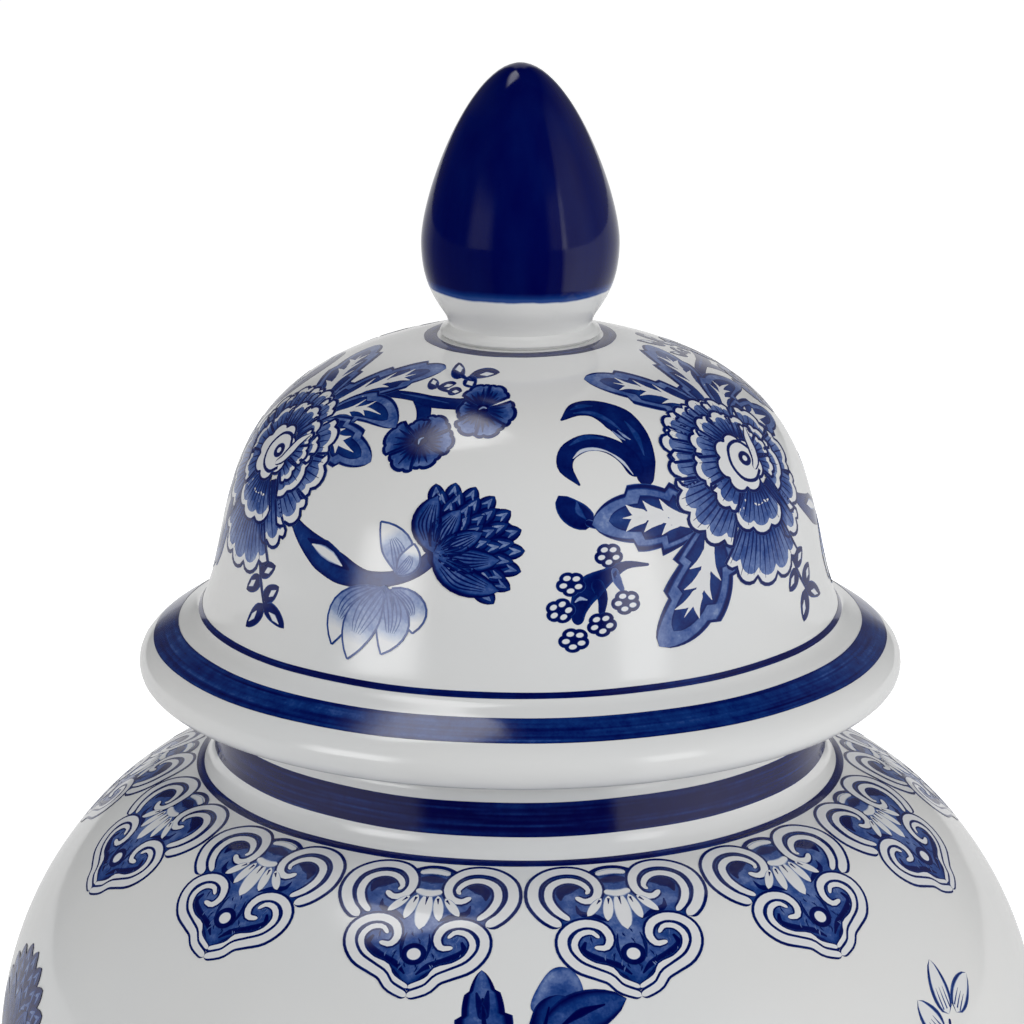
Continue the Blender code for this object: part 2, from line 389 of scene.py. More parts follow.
class Sheet:
    """Flat painted slabs in chart millimetres, ready to be laid on a chart at any azimuth."""

    def __init__(self, chart, level):
        self.chart = chart
        self.level = level
        self.parts = []
        self.faces = []
        self.count = 0

    def slab(self, x, y, ink, layer, wrap=False, period=0.0):
        """One closed slab from a grid of points (rows, columns); a wrapped one closes after period in x."""
        spots = fine_grid(np.stack([x, y, ink], axis=-1), wrap, period)
        rows, columns = spots.shape[:2]
        x, y = spots[..., 0], spots[..., 1]
        lift = np.full((rows, columns, 1), PAINT_LIFT + PAINT_LAYER * layer)
        top = np.concatenate([spots, lift], axis=-1).reshape(-1, 4)
        under = top.copy()
        under[:, 3] = -PAINT_DEPTH
        base = self.count
        size = rows * columns
        grid = base + np.arange(size).reshape(rows, columns)
        if wrap:
            grid = np.hstack([grid, grid[:, :1]])
        a, b, c, d = grid[:-1, :-1], grid[1:, :-1], grid[1:, 1:], grid[:-1, 1:]
        quads = np.stack([a, b, c, d], axis=-1).reshape(-1, 4)
        edge = [list(grid[0]), list(grid[-1][::-1])]
        if not wrap:
            edge = [[*grid[0], *grid[1:, -1], *grid[-1, :-1][::-1], *grid[1:-1, 0][::-1]]]
        walls = []
        for loop in edge:
            first, second = (loop[:-1], loop[1:]) if wrap else (loop, loop[1:] + loop[:1])
            first, second = np.array(first), np.array(second)
            walls.append(np.stack([first, second, second + size, first + size], axis=-1))
        x_down, x_over = x[1:, :-1] - x[:-1, :-1], x[:-1, 1:] - x[:-1, :-1]
        y_down, y_over = y[1:, :-1] - y[:-1, :-1], y[:-1, 1:] - y[:-1, :-1]
        every = np.vstack([quads, quads[:, ::-1] + size, *walls])
        if np.sum(x_down * y_over - x_over * y_down) < 0:
            every = every[:, ::-1]
        self.faces.append(every)
        self.parts += [top, under]
        self.count += 2 * size

    def mesh(self, name, azimuths):
        """The sheet laid on its chart at each azimuth, as one mesh with an ink attribute."""
        flat = np.vstack(self.parts)
        faces = np.vstack(self.faces)
        x, s, lift = flat[:, 0], self.level - flat[:, 1], flat[:, 3]
        laid = [self.chart.place(x, s, lift, azimuth) for azimuth in azimuths]
        spots, normals = (np.vstack(rows) for rows in zip(*laid))
        every = np.vstack([faces + turn * len(flat) for turn in range(len(azimuths))])
        mesh = bpy.data.meshes.new(name)
        mesh.vertices.add(len(spots))
        mesh.vertices.foreach_set("co", spots.astype(np.float32).ravel())
        mesh.loops.add(every.size)
        mesh.loops.foreach_set("vertex_index", every.astype(np.int32).ravel())
        mesh.polygons.add(len(every))
        mesh.polygons.foreach_set("loop_start", np.arange(0, every.size, 4, dtype=np.int32))
        mesh.update(calc_edges=True)
        mesh.shade_smooth()
        strength = mesh.attributes.new("ink", "FLOAT", "POINT")
        strength.data.foreach_set("value", np.tile(flat[:, 2], len(azimuths)).astype(np.float32))
        mesh.normals_split_custom_set_from_vertices(normals.astype(np.float32))
        return mesh


def curve(points, count, closed=False):
    """A smooth line of count points through a few points."""
    points = np.array(points, float)
    if closed:
        points = np.vstack([points, points[:1]])
    t = np.r_[0, np.cumsum(np.sqrt(np.maximum(step_lengths(points), 1e-6)))]
    if closed:
        row = np.vstack([points[-2], points, points[1]])
        t = np.r_[-(t[-1] - t[-2]), t, t[-1] + t[1]]
    else:
        row = np.vstack([2 * points[0] - points[1], points, 2 * points[-1] - points[-2]])
        t = np.r_[-t[1], t, 2 * t[-1] - t[-2]]
    slope = np.gradient(row, t, axis=0)[1:-1]
    t = t[1:-1]
    at = np.linspace(t[0], t[-1], count)
    span = np.clip(np.searchsorted(t, at, side="right") - 1, 0, len(t) - 2)
    width = (t[span + 1] - t[span])[:, None]
    u = ((at - t[span]) / width[:, 0])[:, None]
    return (
        (2 * u ** 3 - 3 * u ** 2 + 1) * points[span]
        + (u ** 3 - 2 * u ** 2 + u) * width * slope[span]
        + (3 * u ** 2 - 2 * u ** 3) * points[span + 1]
        + (u ** 3 - u ** 2) * width * slope[span + 1]
    )


def with_tips(line, tips):
    """A line resampled with extra points close to both ends, and each point's share of its length."""
    along = length_along(line)
    total = along[-1]
    crowd = np.array((0.04, 0.15, 0.34, 0.62, 1.0))
    places = np.unique(np.clip(np.r_[along, tips[0] * crowd, total - tips[1] * crowd], 0, total))
    places = places[np.r_[True, np.diff(places) > 0.01]]
    return np.stack([np.interp(places, along, line[:, k]) for k in (0, 1)], axis=1), places / total


def tip_taper(line, tips):
    """Width factors that round off both ends of a line, each over its own tip radius."""
    along = length_along(line)
    taper = np.ones(len(line))
    for gap, radius in ((along, tips[0]), (along[-1] - along, tips[1])):
        near = 1 - np.clip(gap / max(radius, 1e-6), 0, 1)
        taper = np.minimum(taper, np.sqrt(np.maximum(1 - near ** 2, 0.02)))
    return taper


class Pen:
    """Draws on a sheet from its own place, turn and size, so that a motif can be repeated."""

    def __init__(self, sheet, x=0.0, y=0.0, turn=0.0, size=1.0, flip=1.0, layer=0):
        self.sheet, self.x, self.y = sheet, x, y
        self.turn, self.size, self.flip, self.layer = turn, size, flip, layer

    def at(self, x, y, turn=0.0, size=1.0, flip=1.0):
        """A pen placed relative to this one."""
        x, y = self.to_sheet(np.array([x, y], float))
        turn = self.turn + turn * self.flip
        return Pen(self.sheet, x, y, turn, self.size * size, self.flip * flip, self.layer)

    def to_sheet(self, points):
        """Motif points in sheet millimetres."""
        cos, sin = math.cos(math.radians(self.turn)), math.sin(math.radians(self.turn))
        x, y = points[..., 0] * self.flip * self.size, points[..., 1] * self.size
        return np.stack([x * cos - y * sin + self.x, x * sin + y * cos + self.y], axis=-1)

    def patch(self, grid, ink, layer=0, wrap=False):
        """A filled grid of motif points, shape (rows, columns, 2), with its ink per point or per column."""
        spots = self.to_sheet(grid)
        ink = np.broadcast_to(np.asarray(ink, float), spots.shape[:2])
        self.sheet.slab(spots[..., 0], spots[..., 1], ink, self.layer + layer, wrap)

    def stroke(self, points, widths, ink=LINE, layer=0, rim=None, closed=False, across=None, smooth=True):
        """A brush stroke; full widths are spread evenly along its points, across is (offset, ink) pairs."""
        points = np.array(points, float)
        loop = np.vstack([points, points[:1]]) if closed else points
        length = np.sum(step_lengths(loop)) * self.size
        count = int(max(5, math.ceil(length / (PAINT_CELL * 0.55)), 2 * len(points) + 1))
        line = curve(points, count, closed) if smooth else points
        share = np.linspace(0, 1, len(line))
        widths = np.atleast_1d(np.asarray(widths, float))
        tips = (widths[0] / 2, widths[-1] / 2)
        rounded = not closed and smooth and max(tips) > ROUND_TIP
        if rounded:
            line, share = with_tips(line, tips)
        spots = self.to_sheet(line)
        stretch = self.sheet.chart.stretch(self.sheet.level - spots[:, 1])
        along = np.gradient(spots, axis=0)
        if closed:
            along[0] = along[-1] = spots[1] - spots[-2]
        along[:, 0] *= stretch
        along /= np.maximum(np.linalg.norm(along, axis=1), 1e-9)[:, None]
        side = np.stack([-along[:, 1] / stretch, along[:, 0]], axis=1)
        half = np.interp(share, np.linspace(0, 1, len(widths)), widths) * 0.5 * self.size
        if rounded:
            half *= tip_taper(line, tips)
        if across is None:
            edge = ink * 0.45 if rim is None else rim
            across = ((-1, edge), (-0.62, ink), (0.62, ink), (1, edge))
        offset, tone = np.array(across).T
        grid = spots[:, None, :] + side[:, None, :] * (half[:, None] * offset)[..., None]
        ink_grid = np.broadcast_to(tone, grid.shape[:2])
        if closed:
            grid, ink_grid = grid[:-1], ink_grid[:-1]
            self.sheet.slab(grid[..., 0].T, grid[..., 1].T, ink_grid.T, self.layer + layer, True)
        else:
            self.sheet.slab(grid[..., 0], grid[..., 1], ink_grid, self.layer + layer)

    def blob(self, centre, outline, inks, layer, shares):
        """A filled shape round a centre, with its inks at shares of the way out to its edge."""
        shares = np.maximum(shares, BLOB_EYE)
        grid = np.asarray(centre) + (outline[None, :, :] - centre) * shares[:, None, None]
        self.patch(grid, np.array(inks)[:, None], layer, True)


def polar(radius, degrees):
    """A point at a distance and an angle."""
    return np.array([radius * math.cos(math.radians(degrees)), radius * math.sin(math.radians(degrees))])


def scalloped(radius_x, radius_y, lobes, depth, count=None, turn=0.0):
    """A closed outline of lobes, like a small blossom or a cloud."""
    count = count or lobes * 7
    t = np.arange(count) / count
    swell = 1 - depth + depth * np.abs(np.sin(math.pi * lobes * t)) ** 0.7
    angle = math.tau * t + math.radians(turn)
    return np.stack([radius_x * swell * np.cos(angle), radius_y * swell * np.sin(angle)], axis=1)


# ---------------------------------------------------------------- painted motifs, drawn in millimetres

def both_sides(*half):
    """Matching (offset, ink) pairs across a stroke or a leaf, from those of one side, edge first."""
    return [(-offset, ink) for offset, ink in half if offset] + list(half[::-1])


DOUBLE_LINE = both_sides((1, 0.6), (0.92, LINE), (0.66, LINE), (0.56, BARE))


def leaf_grid(base, tip, half_widths, columns, bend=0, teeth=0, bite=0.2, peak=0.8, fullness=0.62):
    """Grid of a leaf: rows from base to tip, columns across it from -1 to 1, with forward teeth if any.

    Its half widths are one number, or a pair for its left and right."""
    rows = 6 * teeth + 11
    base, tip = np.array(base, float), np.array(tip, float)
    line = tip - base
    length = np.linalg.norm(line)
    side = np.array([-line[1], line[0]]) / length
    u = np.linspace(0, 1, rows)
    middle = base + line * u[:, None] + side * (bend * length * np.sin(math.pi * u))[:, None]
    along = np.gradient(middle, axis=0)
    along /= np.linalg.norm(along, axis=1)[:, None]
    across = np.stack([-along[:, 1], along[:, 0]], axis=1)
    swell = np.maximum(np.sin(math.pi * u ** peak), 0) ** fullness
    tooth = 1 - bite * (1 - (u * teeth) % 1) if teeth else np.ones(rows)
    columns = np.array(columns)
    left, right = np.broadcast_to(half_widths, 2)
    width = np.where(columns[None, :] > 0, left, right) * (swell * tooth)[:, None]
    width = np.maximum(width, 0.1)
    return middle[:, None, :] + across[:, None, :] * (width * columns[None, :])[..., None]


def on_leaf(base, tip, bend, u, sideways=0):
    """A point at u along a leaf's bent middle line, moved sideways by a share of its length."""
    line = np.array(tip, float) - np.array(base, float)
    side = np.array([-line[1], line[0]])
    return np.array(base, float) + line * u + side * (bend * math.sin(math.pi * u) + sideways)


def filled_leaf(pen, base, tip, half_widths, across, layer, *shape, **more_shape):
    """A leaf whose ink across it comes from (offset, ink) pairs; what follows shapes its grid."""
    columns, inks = zip(*across)
    pen.patch(leaf_grid(base, tip, half_widths, columns, *shape, **more_shape), inks, layer)


LEAF_BORDER = both_sides((1, 0.5), (0.95, LINE), (0.87, LINE), (0.8, 0.48), (0, 0.48))
LEAF_HEART = both_sides((1, 0.6), (0.92, LINE), (0.8, 0.78), (0, 0.7))


def big_leaf(pen, base, tip, half_widths, bend=0.08, teeth=3, layer=0, barbs=3, vein=0.15):
    """A variegated leaf: dark toothed edge, pale border, dark mottled heart and a white barbed vein."""
    left, right = half_widths
    filled_leaf(pen, base, tip, half_widths, LEAF_BORDER, layer, bend, teeth, 0.24)
    start, end = on_leaf(base, tip, bend, 0.02), on_leaf(base, tip, bend, 0.86)
    inside = (left * 0.68, right * 0.68)
    filled_leaf(pen, start, end, inside, LEAF_HEART, layer + 1, bend * 0.8, teeth, 0.36)
    thick = vein * (left + right)
    length = np.linalg.norm(np.subtract(tip, base))
    spine = [on_leaf(base, tip, bend, u) for u in (0.04, 0.25, 0.5, 0.74)]
    pen.stroke(spine, (thick, thick * 1.2, thick * 0.8, 0.1), BARE, layer + 2, rim=BARE)
    for barb in range(barbs):
        share = 0.2 + 0.16 * barb
        for way, half in ((1, left), (-1, right)):
            reach = way * (0.46 - 0.06 * barb) * half / length
            root, point = on_leaf(base, tip, bend, share), on_leaf(base, tip, bend, share + 0.19, reach)
            elbow = (root + point) / 2 + 0.1 * (point - root)[::-1] * (way, -way)
            pen.stroke([root, elbow, point], (thick * 1.1, thick * 0.8, 0.1), BARE, layer + 2, rim=BARE)


def veined_leaf(pen, base, tip, half_widths, bend=0, teeth=12, layer=0):
    """A toothed leaf with a dark edge, a mottled blue body and dark veins."""
    across = both_sides((1, 0.7), (0.94, 1), (0.76, 1), (0.62, 0.62), (0, 0.54))
    filled_leaf(pen, base, tip, half_widths, across, layer, bend, teeth, 0.24, 1.15, 0.7)
    spine = [on_leaf(base, tip, bend, u) for u in (0.02, 0.3, 0.6, 0.9)]
    pen.stroke(spine, (3, 2.8, 2.4, 0.6), 0.98, layer + 1, rim=0.82)
    length = np.linalg.norm(np.subtract(tip, base))
    veins = teeth // 2
    for vein in range(veins):
        share = 0.14 + 0.82 * vein / veins
        for way, half in ((1, half_widths[0]), (-1, half_widths[1])):
            root = on_leaf(base, tip, bend, share)
            reach = 0.6 * math.sin(math.pi * (share + 0.1)) * half / length
            point = on_leaf(base, tip, bend, share + 0.1, way * reach)
            pen.stroke([root, (root + point) / 2, point], (2.4, 1.9, 0.5), 0.95, layer + 1, rim=0.8)


def small_leaf(pen, base, tip, half_width, layer=0):
    """A small leaf with a dark edge and a white sliver on one side."""
    filled_leaf(pen, base, tip, half_width, both_sides((1, 0.6), (0.75, LINE), (0, 0.88)), layer, 0.05)
    sliver = [on_leaf(base, tip, 0.05, u, -0.06) for u in (0.34, 0.55, 0.8)]
    pen.stroke(sliver, (0.2, half_width * 0.84, 0.15), BARE, layer + 1, rim=0.3)


def outlined_leaf(pen, base, tip, half_width, layer=0):
    """A small white leaf drawn in line, with three strokes from its root."""
    filled_leaf(pen, base, tip, half_width, both_sides((1, 0.5), (0.8, LINE), (0.62, BARE)), layer, 0.05)
    for sideways in (-0.1, 0, 0.1):
        line = [on_leaf(base, tip, 0.05, u, sideways) for u in (0.1, 0.3, 0.5)]
        pen.stroke(line, (0.5, 0.4, 0.1), 0.7, layer + 1, rim=0.4)


def ruffle(t, lobes):
    """How far a ruffled petal's edge reaches at t across it, from -1 to 1."""
    return 0.93 - 0.11 * np.abs(t) ** 3 + 0.07 * np.abs(np.cos(lobes * math.pi * t / 2)) ** 0.6


def petal_place(aim, half, inner, outer, lobes, t, u):
    """A point of a petal round the origin, at t across it and u outwards."""
    radius = inner + (outer * ruffle(t, lobes) - inner) * u
    angle = np.radians(aim + half * (0.62 + 0.38 * np.sqrt(u)) * t)
    return np.stack([radius * np.cos(angle), radius * np.sin(angle)], axis=-1)


def peony_petal(pen, random, aim, half, inner, outer, layer, border=2.2):
    """One ruffled petal: white lip with a dark outline, and a blue body hatched from its root."""
    lobes = max(2, round(math.radians(half) * outer / 3.4))
    t = np.linspace(-1, 1, 6 * lobes + 1)
    u = np.linspace(0, 1, 7)
    lip = petal_place(aim, half, inner, outer, lobes, t[None, :], u[:, None])
    pen.patch(lip, BARE, layer)
    body = petal_place(aim, half * 0.95, inner, outer - border, lobes, t[None, :], u[:, None])
    tone = np.interp(u, (0, 0.25, 0.6, 1), (LINE, 0.74, 0.54, 0.44))
    pen.patch(body, tone[:, None], layer + 1)
    count = max(4, round(math.radians(half) * 2 * (outer - border) / 1.9))
    for across in np.linspace(-0.94, 0.94, count):
        reach = 0.9 + 0.2 * random.random()
        u_line = np.array([0.12, 0.4, 0.7, 1]) * reach
        ray = petal_place(aim, half * 0.95, inner, outer - border, lobes, np.full(4, across), u_line)
        pen.stroke(ray, (0.9, 0.65, 0.45, 0.12), 0.88, layer + 2, rim=0.66)
    edge = np.vstack([lip[2:-1, 0], lip[-1], lip[2:-1, -1][::-1]])
    pen.stroke(edge, 0.9, LINE, layer + 3, rim=0.5, smooth=False)


def peony(pen, layer=0):
    """A many-petalled peony about 45 mm across with a curled white heart."""
    random = np.random.default_rng(7)
    outer_ring = (
        (98, 20, 6, 18.8), (72, 18, 6, 17.6), (122, 15, 7, 20.4), (140, 14, 8, 23), (158, 14, 8, 24),
        (26, 20, 6, 18.8), (176, 13, 8, 23.4), (-10, 20, 6, 20), (-64, 12, 8, 24.4), (-43, 16, 7, 21.6),
        (-97, 27, 9, 30.6), (-150, 27, 9, 25.6),
    )
    middle_ring = (
        (120, 20, 5, 14.6), (84, 22, 5, 13.4), (48, 20, 5, 12.8), (150, 18, 5, 16), (-24, 32, 5, 14.6),
        (14, 18, 5, 14), (182, 18, 5, 17), (-146, 18, 5, 16.4), (-98, 32, 5, 18.8),
    )
    inner_ring = ((34, 15, 3, 11), (4, 16, 3, 11.4), (-30, 17, 3, 11))
    for place, petal in enumerate(outer_ring):
        peony_petal(pen, random, *petal, layer + (place % 2) * 2)
    for place, petal in enumerate(middle_ring):
        peony_petal(pen, random, *petal, layer + 6 + (place % 2) * 2, 2)
    for petal in inner_ring:
        peony_petal(pen, random, *petal, layer + 11, 1.8)
    centre = (-2.2, -1)
    heart = scalloped(7.8, 7.6, 7, 0.17, 63) + centre
    pen.blob(centre, heart, (BARE, BARE), layer + 15, (0, 1))
    pen.stroke(heart, 0.8, LINE, layer + 16, closed=True, rim=0.5)
    bowl = [polar(5.2, angle) * (0.95, 1) + (-0.5, -0.9) for angle in (15, 70, 125, 180, 230, 280, 320)]
    pen.stroke(bowl, 0.9, LINE, layer + 17, rim=0.5)
    curl = [(1.4, -3.6), (3.4, -2), (4.8, 0.8), (5.8, 3.6), (8, 6.2)]
    pen.stroke(curl, (1.4, 3, 3.6, 2.8, 0.6), BARE, layer + 18, across=DOUBLE_LINE)
    eye = scalloped(2.1, 1.9, 1, 0, 24) + (0, -0.5)
    pen.blob((0, -0.5), eye, (BARE, BARE, LINE, LINE, 0.5), layer + 19, (0, 0.34, 0.44, 0.9, 1))


def horn_leaves(pen):
    """Two dark curling leaves that sweep up and over."""
    upper = [(-30.5, -1.5), (-29, 6), (-28.8, 12.5), (-31, 18), (-36, 21.6), (-41.5, 21.8), (-47.3, 18.4)]
    pen.stroke(upper, (3.4, 6.4, 7.6, 9, 6.4, 4.6, 0.4), 0.88, 0, rim=LINE)
    lower = [(-31.5, 1), (-33, 6.6), (-37, 10.2), (-42, 11.2), (-47.2, 8.6), (-48.4, 5), (-45.6, 0)]
    pen.stroke(lower, (4.4, 5.2, 4.8, 4.8, 4.6, 3.6, 0.4), 0.88, 1, rim=LINE)
    slit = [(-46.2, 7), (-44, 8.8), (-41, 9.3), (-37.6, 8.3), (-34.6, 5.4), (-32.8, 1.6)]
    pen.stroke(slit, (0.2, 1.1, 1, 0.3, 0.9, 0.2), 0.1, 2, rim=0.5)
    for side in (0, 1.5):
        ridge = [(-34 + side, 14), (-32.6 + side, 11.8), (-31.6 + side, 10.8)]
        pen.stroke(ridge, (0.2, 0.9, 0.2), 0.3, 2, rim=0.6)
    folds = (
        [(-43, 20.6), (-38, 20.4), (-33.4, 17), (-31.4, 13.6)], [(-29, 16.6), (-28, 12), (-28.4, 6)],
        [(-46.6, 10.6), (-42, 12.7), (-37, 11.9)], [(-36, 22.6), (-40, 22.9), (-43.6, 21.8)],
    )
    for fold in folds:
        pen.stroke(fold, (0.3, 1.8, 0.3), 0.68, 2, rim=0.8)


def bud_on_stalk(pen):
    """A closed dark bud."""
    across = both_sides((1, 0.6), (0.8, LINE), (0, 0.9))
    filled_leaf(pen, (-43.6, -9.2), (-50.6, -2.2), (2.9, 3.2), across, 0, 0.1, fullness=0.5)
    pen.stroke([(-45.2, -8), (-46.6, -6), (-46.8, -3.8)], (0.3, 1.8, 0.3), 0.66, 1, rim=0.8)
    pen.stroke([(-45.4, -8.6), (-43.6, -9.4), (-41, -9.6)], (1.6, 1.9, 0.8), LINE, 1)


def berry_blossom(pen, x, y, turn, layer=0):
    """A tiny dark blossom of five white petals round a dark eye."""
    spot = pen.at(x, y, turn)
    edge = scalloped(3, 2.9, 5, 0.16, 45)
    spot.blob((0, 0), edge, (LINE, LINE, LINE, 0.6), layer, (0, 0.7, 0.92, 1))
    for petal in range(5):
        aim = 36 + 72 * petal
        centre = polar(1.55, aim)
        outline = scalloped(0.8, 0.62, 1, 0, 14, aim) + centre
        spot.blob(centre, outline, (BARE, BARE, 0.5), layer + 1, (0, 0.8, 1))


def berry_cluster(pen):
    """A loose cluster of tiny blossoms on brushed stalks."""
    stalk = [(-33, -19.6), (-38, -19.2), (-42, -21.4), (-45.6, -24), (-47.6, -28), (-48, -32)]
    pen.stroke(stalk, (0.6, 1.8, 3.6, 6.4, 4.6, 2.2), 0.9, 0, rim=0.7)
    pen.stroke([(-44.4, -22), (-43, -26), (-43.4, -30)], (3.4, 2.6, 1.4), 0.9, 0, rim=0.7)
    pen.stroke([(-40.4, -19.6), (-39.8, -22.6), (-38.8, -25)], (1.6, 2.2, 1), 0.6, 0, rim=0.45)
    pen.stroke([(-46, -26.4), (-47.4, -26), (-48.4, -26.8)], (0.3, 1.1, 0.3), PALE, 1, rim=0.6)
    places = (
        (-49, -22.6, 12), (-51.2, -28.6, 40), (-48.8, -35.4, 8), (-43.4, -32.2, 22), (-38.4, -27.6, 5),
        (-41.2, -16.6, 14),
    )
    for x, y, turn in places:
        berry_blossom(pen, x, y, turn, 1)


def branch(pen):
    """A thick dark branch that forks to two blossoms."""
    main = [(19, 22.6), (25, 24), (33, 24.4), (40, 23.6), (48, 23.6), (56, 24.4)]
    pen.stroke(main, (2.2, 3, 3.2, 4.4, 4.2, 6), 0.86, 0, rim=LINE)
    pen.stroke([(34, 24.6), (38.4, 21.6), (40.8, 17.6), (42, 13)], (3, 3.8, 3.4, 5), 0.84, 0, rim=LINE)
    pen.stroke([(27, 24.6), (36, 24.6), (46, 23.6)], (0.2, 1, 0.2), 0.62, 1, rim=0.75)


def cloud_blossom(pen, x, y, turn, layer=0, size=1, seed=1):
    """A dark, uneven blossom of folded petals with paler tips round a small dark eye."""
    spot = pen.at(x, y, turn, size)
    random = np.random.default_rng(seed)
    petals = 6
    for k in range(petals):
        aim = 360 * k / petals + 22 * (random.random() - 0.5)
        half, outer = 27 + 7 * random.random(), 7.6 + 3.6 * random.random()
        t, u = np.linspace(-1, 1, 17), np.linspace(0, 1, 7)
        level = layer + 3 * (k % 2)
        grid = petal_place(aim, half, 0.6, outer, 2, t[None, :], u[:, None])
        tone = np.interp(u, (0, 0.35, 0.7, 1), (1, 0.88, 0.6, 0.44))
        spot.patch(grid, tone[:, None], level)
        rim = np.vstack([grid[1:-1, 0], grid[-1], grid[1:-1, -1][::-1]])
        spot.stroke(rim, 1, LINE, level + 1, rim=0.6, smooth=False)
        for across in (-0.55, 0, 0.55):
            reach = 0.62 + 0.26 * random.random()
            u_line = np.array([0.1, 0.5, 1]) * reach
            line = petal_place(aim, half, 0.6, outer, 2, np.full(3, across), u_line)
            spot.stroke(line, (1.3, 1, 0.2), LINE, level + 2, rim=0.8)
    spot.blob((0.2, 0), scalloped(2.4, 1.9, 4, 0.25, 28) + (0.2, 0), (1, 1, 0.8), layer + 7, (0, 0.8, 1))
    spot.stroke([(-0.9, -0.4), (0.3, 0.5), (1.4, 0.1)], (0.3, 0.8, 0.3), 0.3, layer + 8, rim=0.6)


def sprig(pen, leaves, stalk, half_width=1.8, layer=0):
    """Small leaves along a thin stalk; leaves are (base, tip) pairs."""
    pen.stroke(stalk, (0.6, 1.2, 0.8), LINE, layer)
    for base, tip in leaves:
        small_leaf(pen, base, tip, half_width, layer)


def slit_stem(pen):
    """A swollen blue stem with a white slit, running on to the side flowers."""
    stem = [
        (16.6, -13.6), (20.6, -16.6), (25.6, -19.6), (31.6, -22.4), (38, -23.8), (44, -22.8), (49, -20),
        (53.4, -15.2),
    ]
    pen.stroke(stem, (2, 4.8, 7.4, 7, 4.2, 3.4, 3.6, 3.4), 0.76, 0, rim=LINE)
    slit = [(24.2, -18.4), (27, -19.2), (30, -20.4), (32.6, -21.8)]
    pen.stroke(slit, (0.3, 2.8, 2.6, 0.3), BARE, 2, rim=0.5)
    slit_edge = [(22.6, -17.4), (27.6, -18.8), (31, -20.6), (34.4, -22.4)]
    pen.stroke(slit_edge, (0.4, 4.4, 4.2, 0.4), LINE, 1, rim=0.8)


def lotus_petal(pen, base, tip, half_width, bend, layer, shade=0.42):
    """A pointed petal: finely outlined, streaked from its base and white towards its tip."""
    grid = leaf_grid(base, tip, half_width, (-1, -0.5, 0, 0.5, 1), bend, peak=0.95, fullness=0.8)
    rows = np.linspace(0, 1, grid.shape[0])
    tones = np.interp(rows, (0, 0.3, 0.62, 0.76), (shade + 0.12, shade, shade * 0.7, BARE))
    pen.patch(grid, tones[:, None], layer)
    edge = np.vstack([grid[:, 0], grid[::-1, -1]])
    pen.stroke(edge, 0.55, 0.66, layer + 1, rim=0.45, smooth=False)
    for sideways in (-0.12, -0.06, 0, 0.06, 0.12):
        line = [
            on_leaf(base, tip, bend, u, sideways * math.sin(math.pi * min(u + 0.2, 1)))
            for u in (0.08, 0.3, 0.5, 0.66)
        ]
        pen.stroke(line, (0.5, 0.5, 0.4, 0.1), shade + 0.2, layer + 1, rim=shade)


def lotus(pen, layer=0):
    """A pale hanging lotus with one upright petal."""
    lotus_petal(pen, (46.8, -21), (40.6, -8.6), 3.6, -0.12, layer, 0.36)
    lotus_petal(pen, (46, -21), (49, -13), 2.4, -0.1, layer + 2, 0.36)
    petals = (
        ((45, -24.4), (50.2, -34.6), 3.5, 0.16), ((42.4, -24.6), (32.6, -40.2), 3.5, -0.16),
        ((44.4, -24.8), (44, -40.6), 3.6, 0.1), ((43, -24.8), (36.8, -43), 3.8, -0.06),
    )
    for place, (base, tip, half_width, bend) in enumerate(petals):
        lotus_petal(pen, base, tip, half_width, bend, layer + 4 + 2 * place)
    for reach in (36.5, 39, 41.5, 44, 46.5):
        thread = [(43.6, -24), ((43.6 + reach) / 2, -26), (reach - 0.6, -29.5)]
        pen.stroke(thread, (0.6, 0.7, 0.1), 0.62, layer + 12, rim=0.5)


def thistle(pen, layer=0):
    """A scaly thistle head, dark with paler slits and broad lined sepals."""
    head = pen.at(52, -14, 27, 1.04)
    outline = scalloped(9.4, 9.2, 12, 0.08, 60) + (7.6, 0.2)
    head.blob((7.6, 0.2), outline, (DEEP, DEEP, 0.9, LINE), layer, (0, 0.6, 0.93, 1))
    rows = ((18, 10, 68), (16, 9, 62), (13.8, 9, 68), (11.6, 8, 64), (9.4, 7, 66))
    scale = both_sides((1, 0.95), (0.84, 1), (0.6, 0.84), (0, 0.76))
    for row, (reach, count, spread) in enumerate(rows):
        for k in range(count):
            angle = -spread + 2 * spread * k / (count - 1)
            squeeze = 1 - 0.2 * (abs(angle) / 90) ** 1.6
            tip = polar(reach * squeeze, angle)
            start = polar(max(reach * squeeze - 6, 0.8), angle * 0.94)
            filled_leaf(head, start, tip, 1.9, scale, layer + 1 + row, peak=1.1)
            for way in (-1, 1):
                steps = ((0.86, 0), (0.66, 0.05), (0.5, 0.14))
                mark = [on_leaf(start, tip, 0, u, way * off) for u, off in steps]
                head.stroke(mark, (0.2, 0.75, 0.2), 0.4, layer + 2 + row, rim=0.66)
    sepals = (
        ((0.2, 0.2), (5.4, 11.6), 3.2, 0.14), ((0.2, 0.2), (8, -12.4), 3.4, -0.12),
        ((0.4, 0), (8.6, 6.8), 3, 0.06), ((0.4, 0), (11, -6.4), 3.1, -0.06), ((0, 0), (10.6, 0.4), 2.6, 0),
    )
    for base, tip, half_width, bend in sepals:
        across = both_sides((1, 0.95), (0.84, 1), (0.6, 0.6), (0, 0.52))
        filled_leaf(head, base, tip, half_width, across, layer + 8, bend, peak=1)
        for sideways in (-0.13, -0.07, 0, 0.07, 0.13):
            vein = [on_leaf(base, tip, bend, u, sideways * math.sin(math.pi * u)) for u in (0.2, 0.5, 0.84)]
            head.stroke(vein, (0.2, 0.5, 0.1), LINE, layer + 9, rim=0.7)


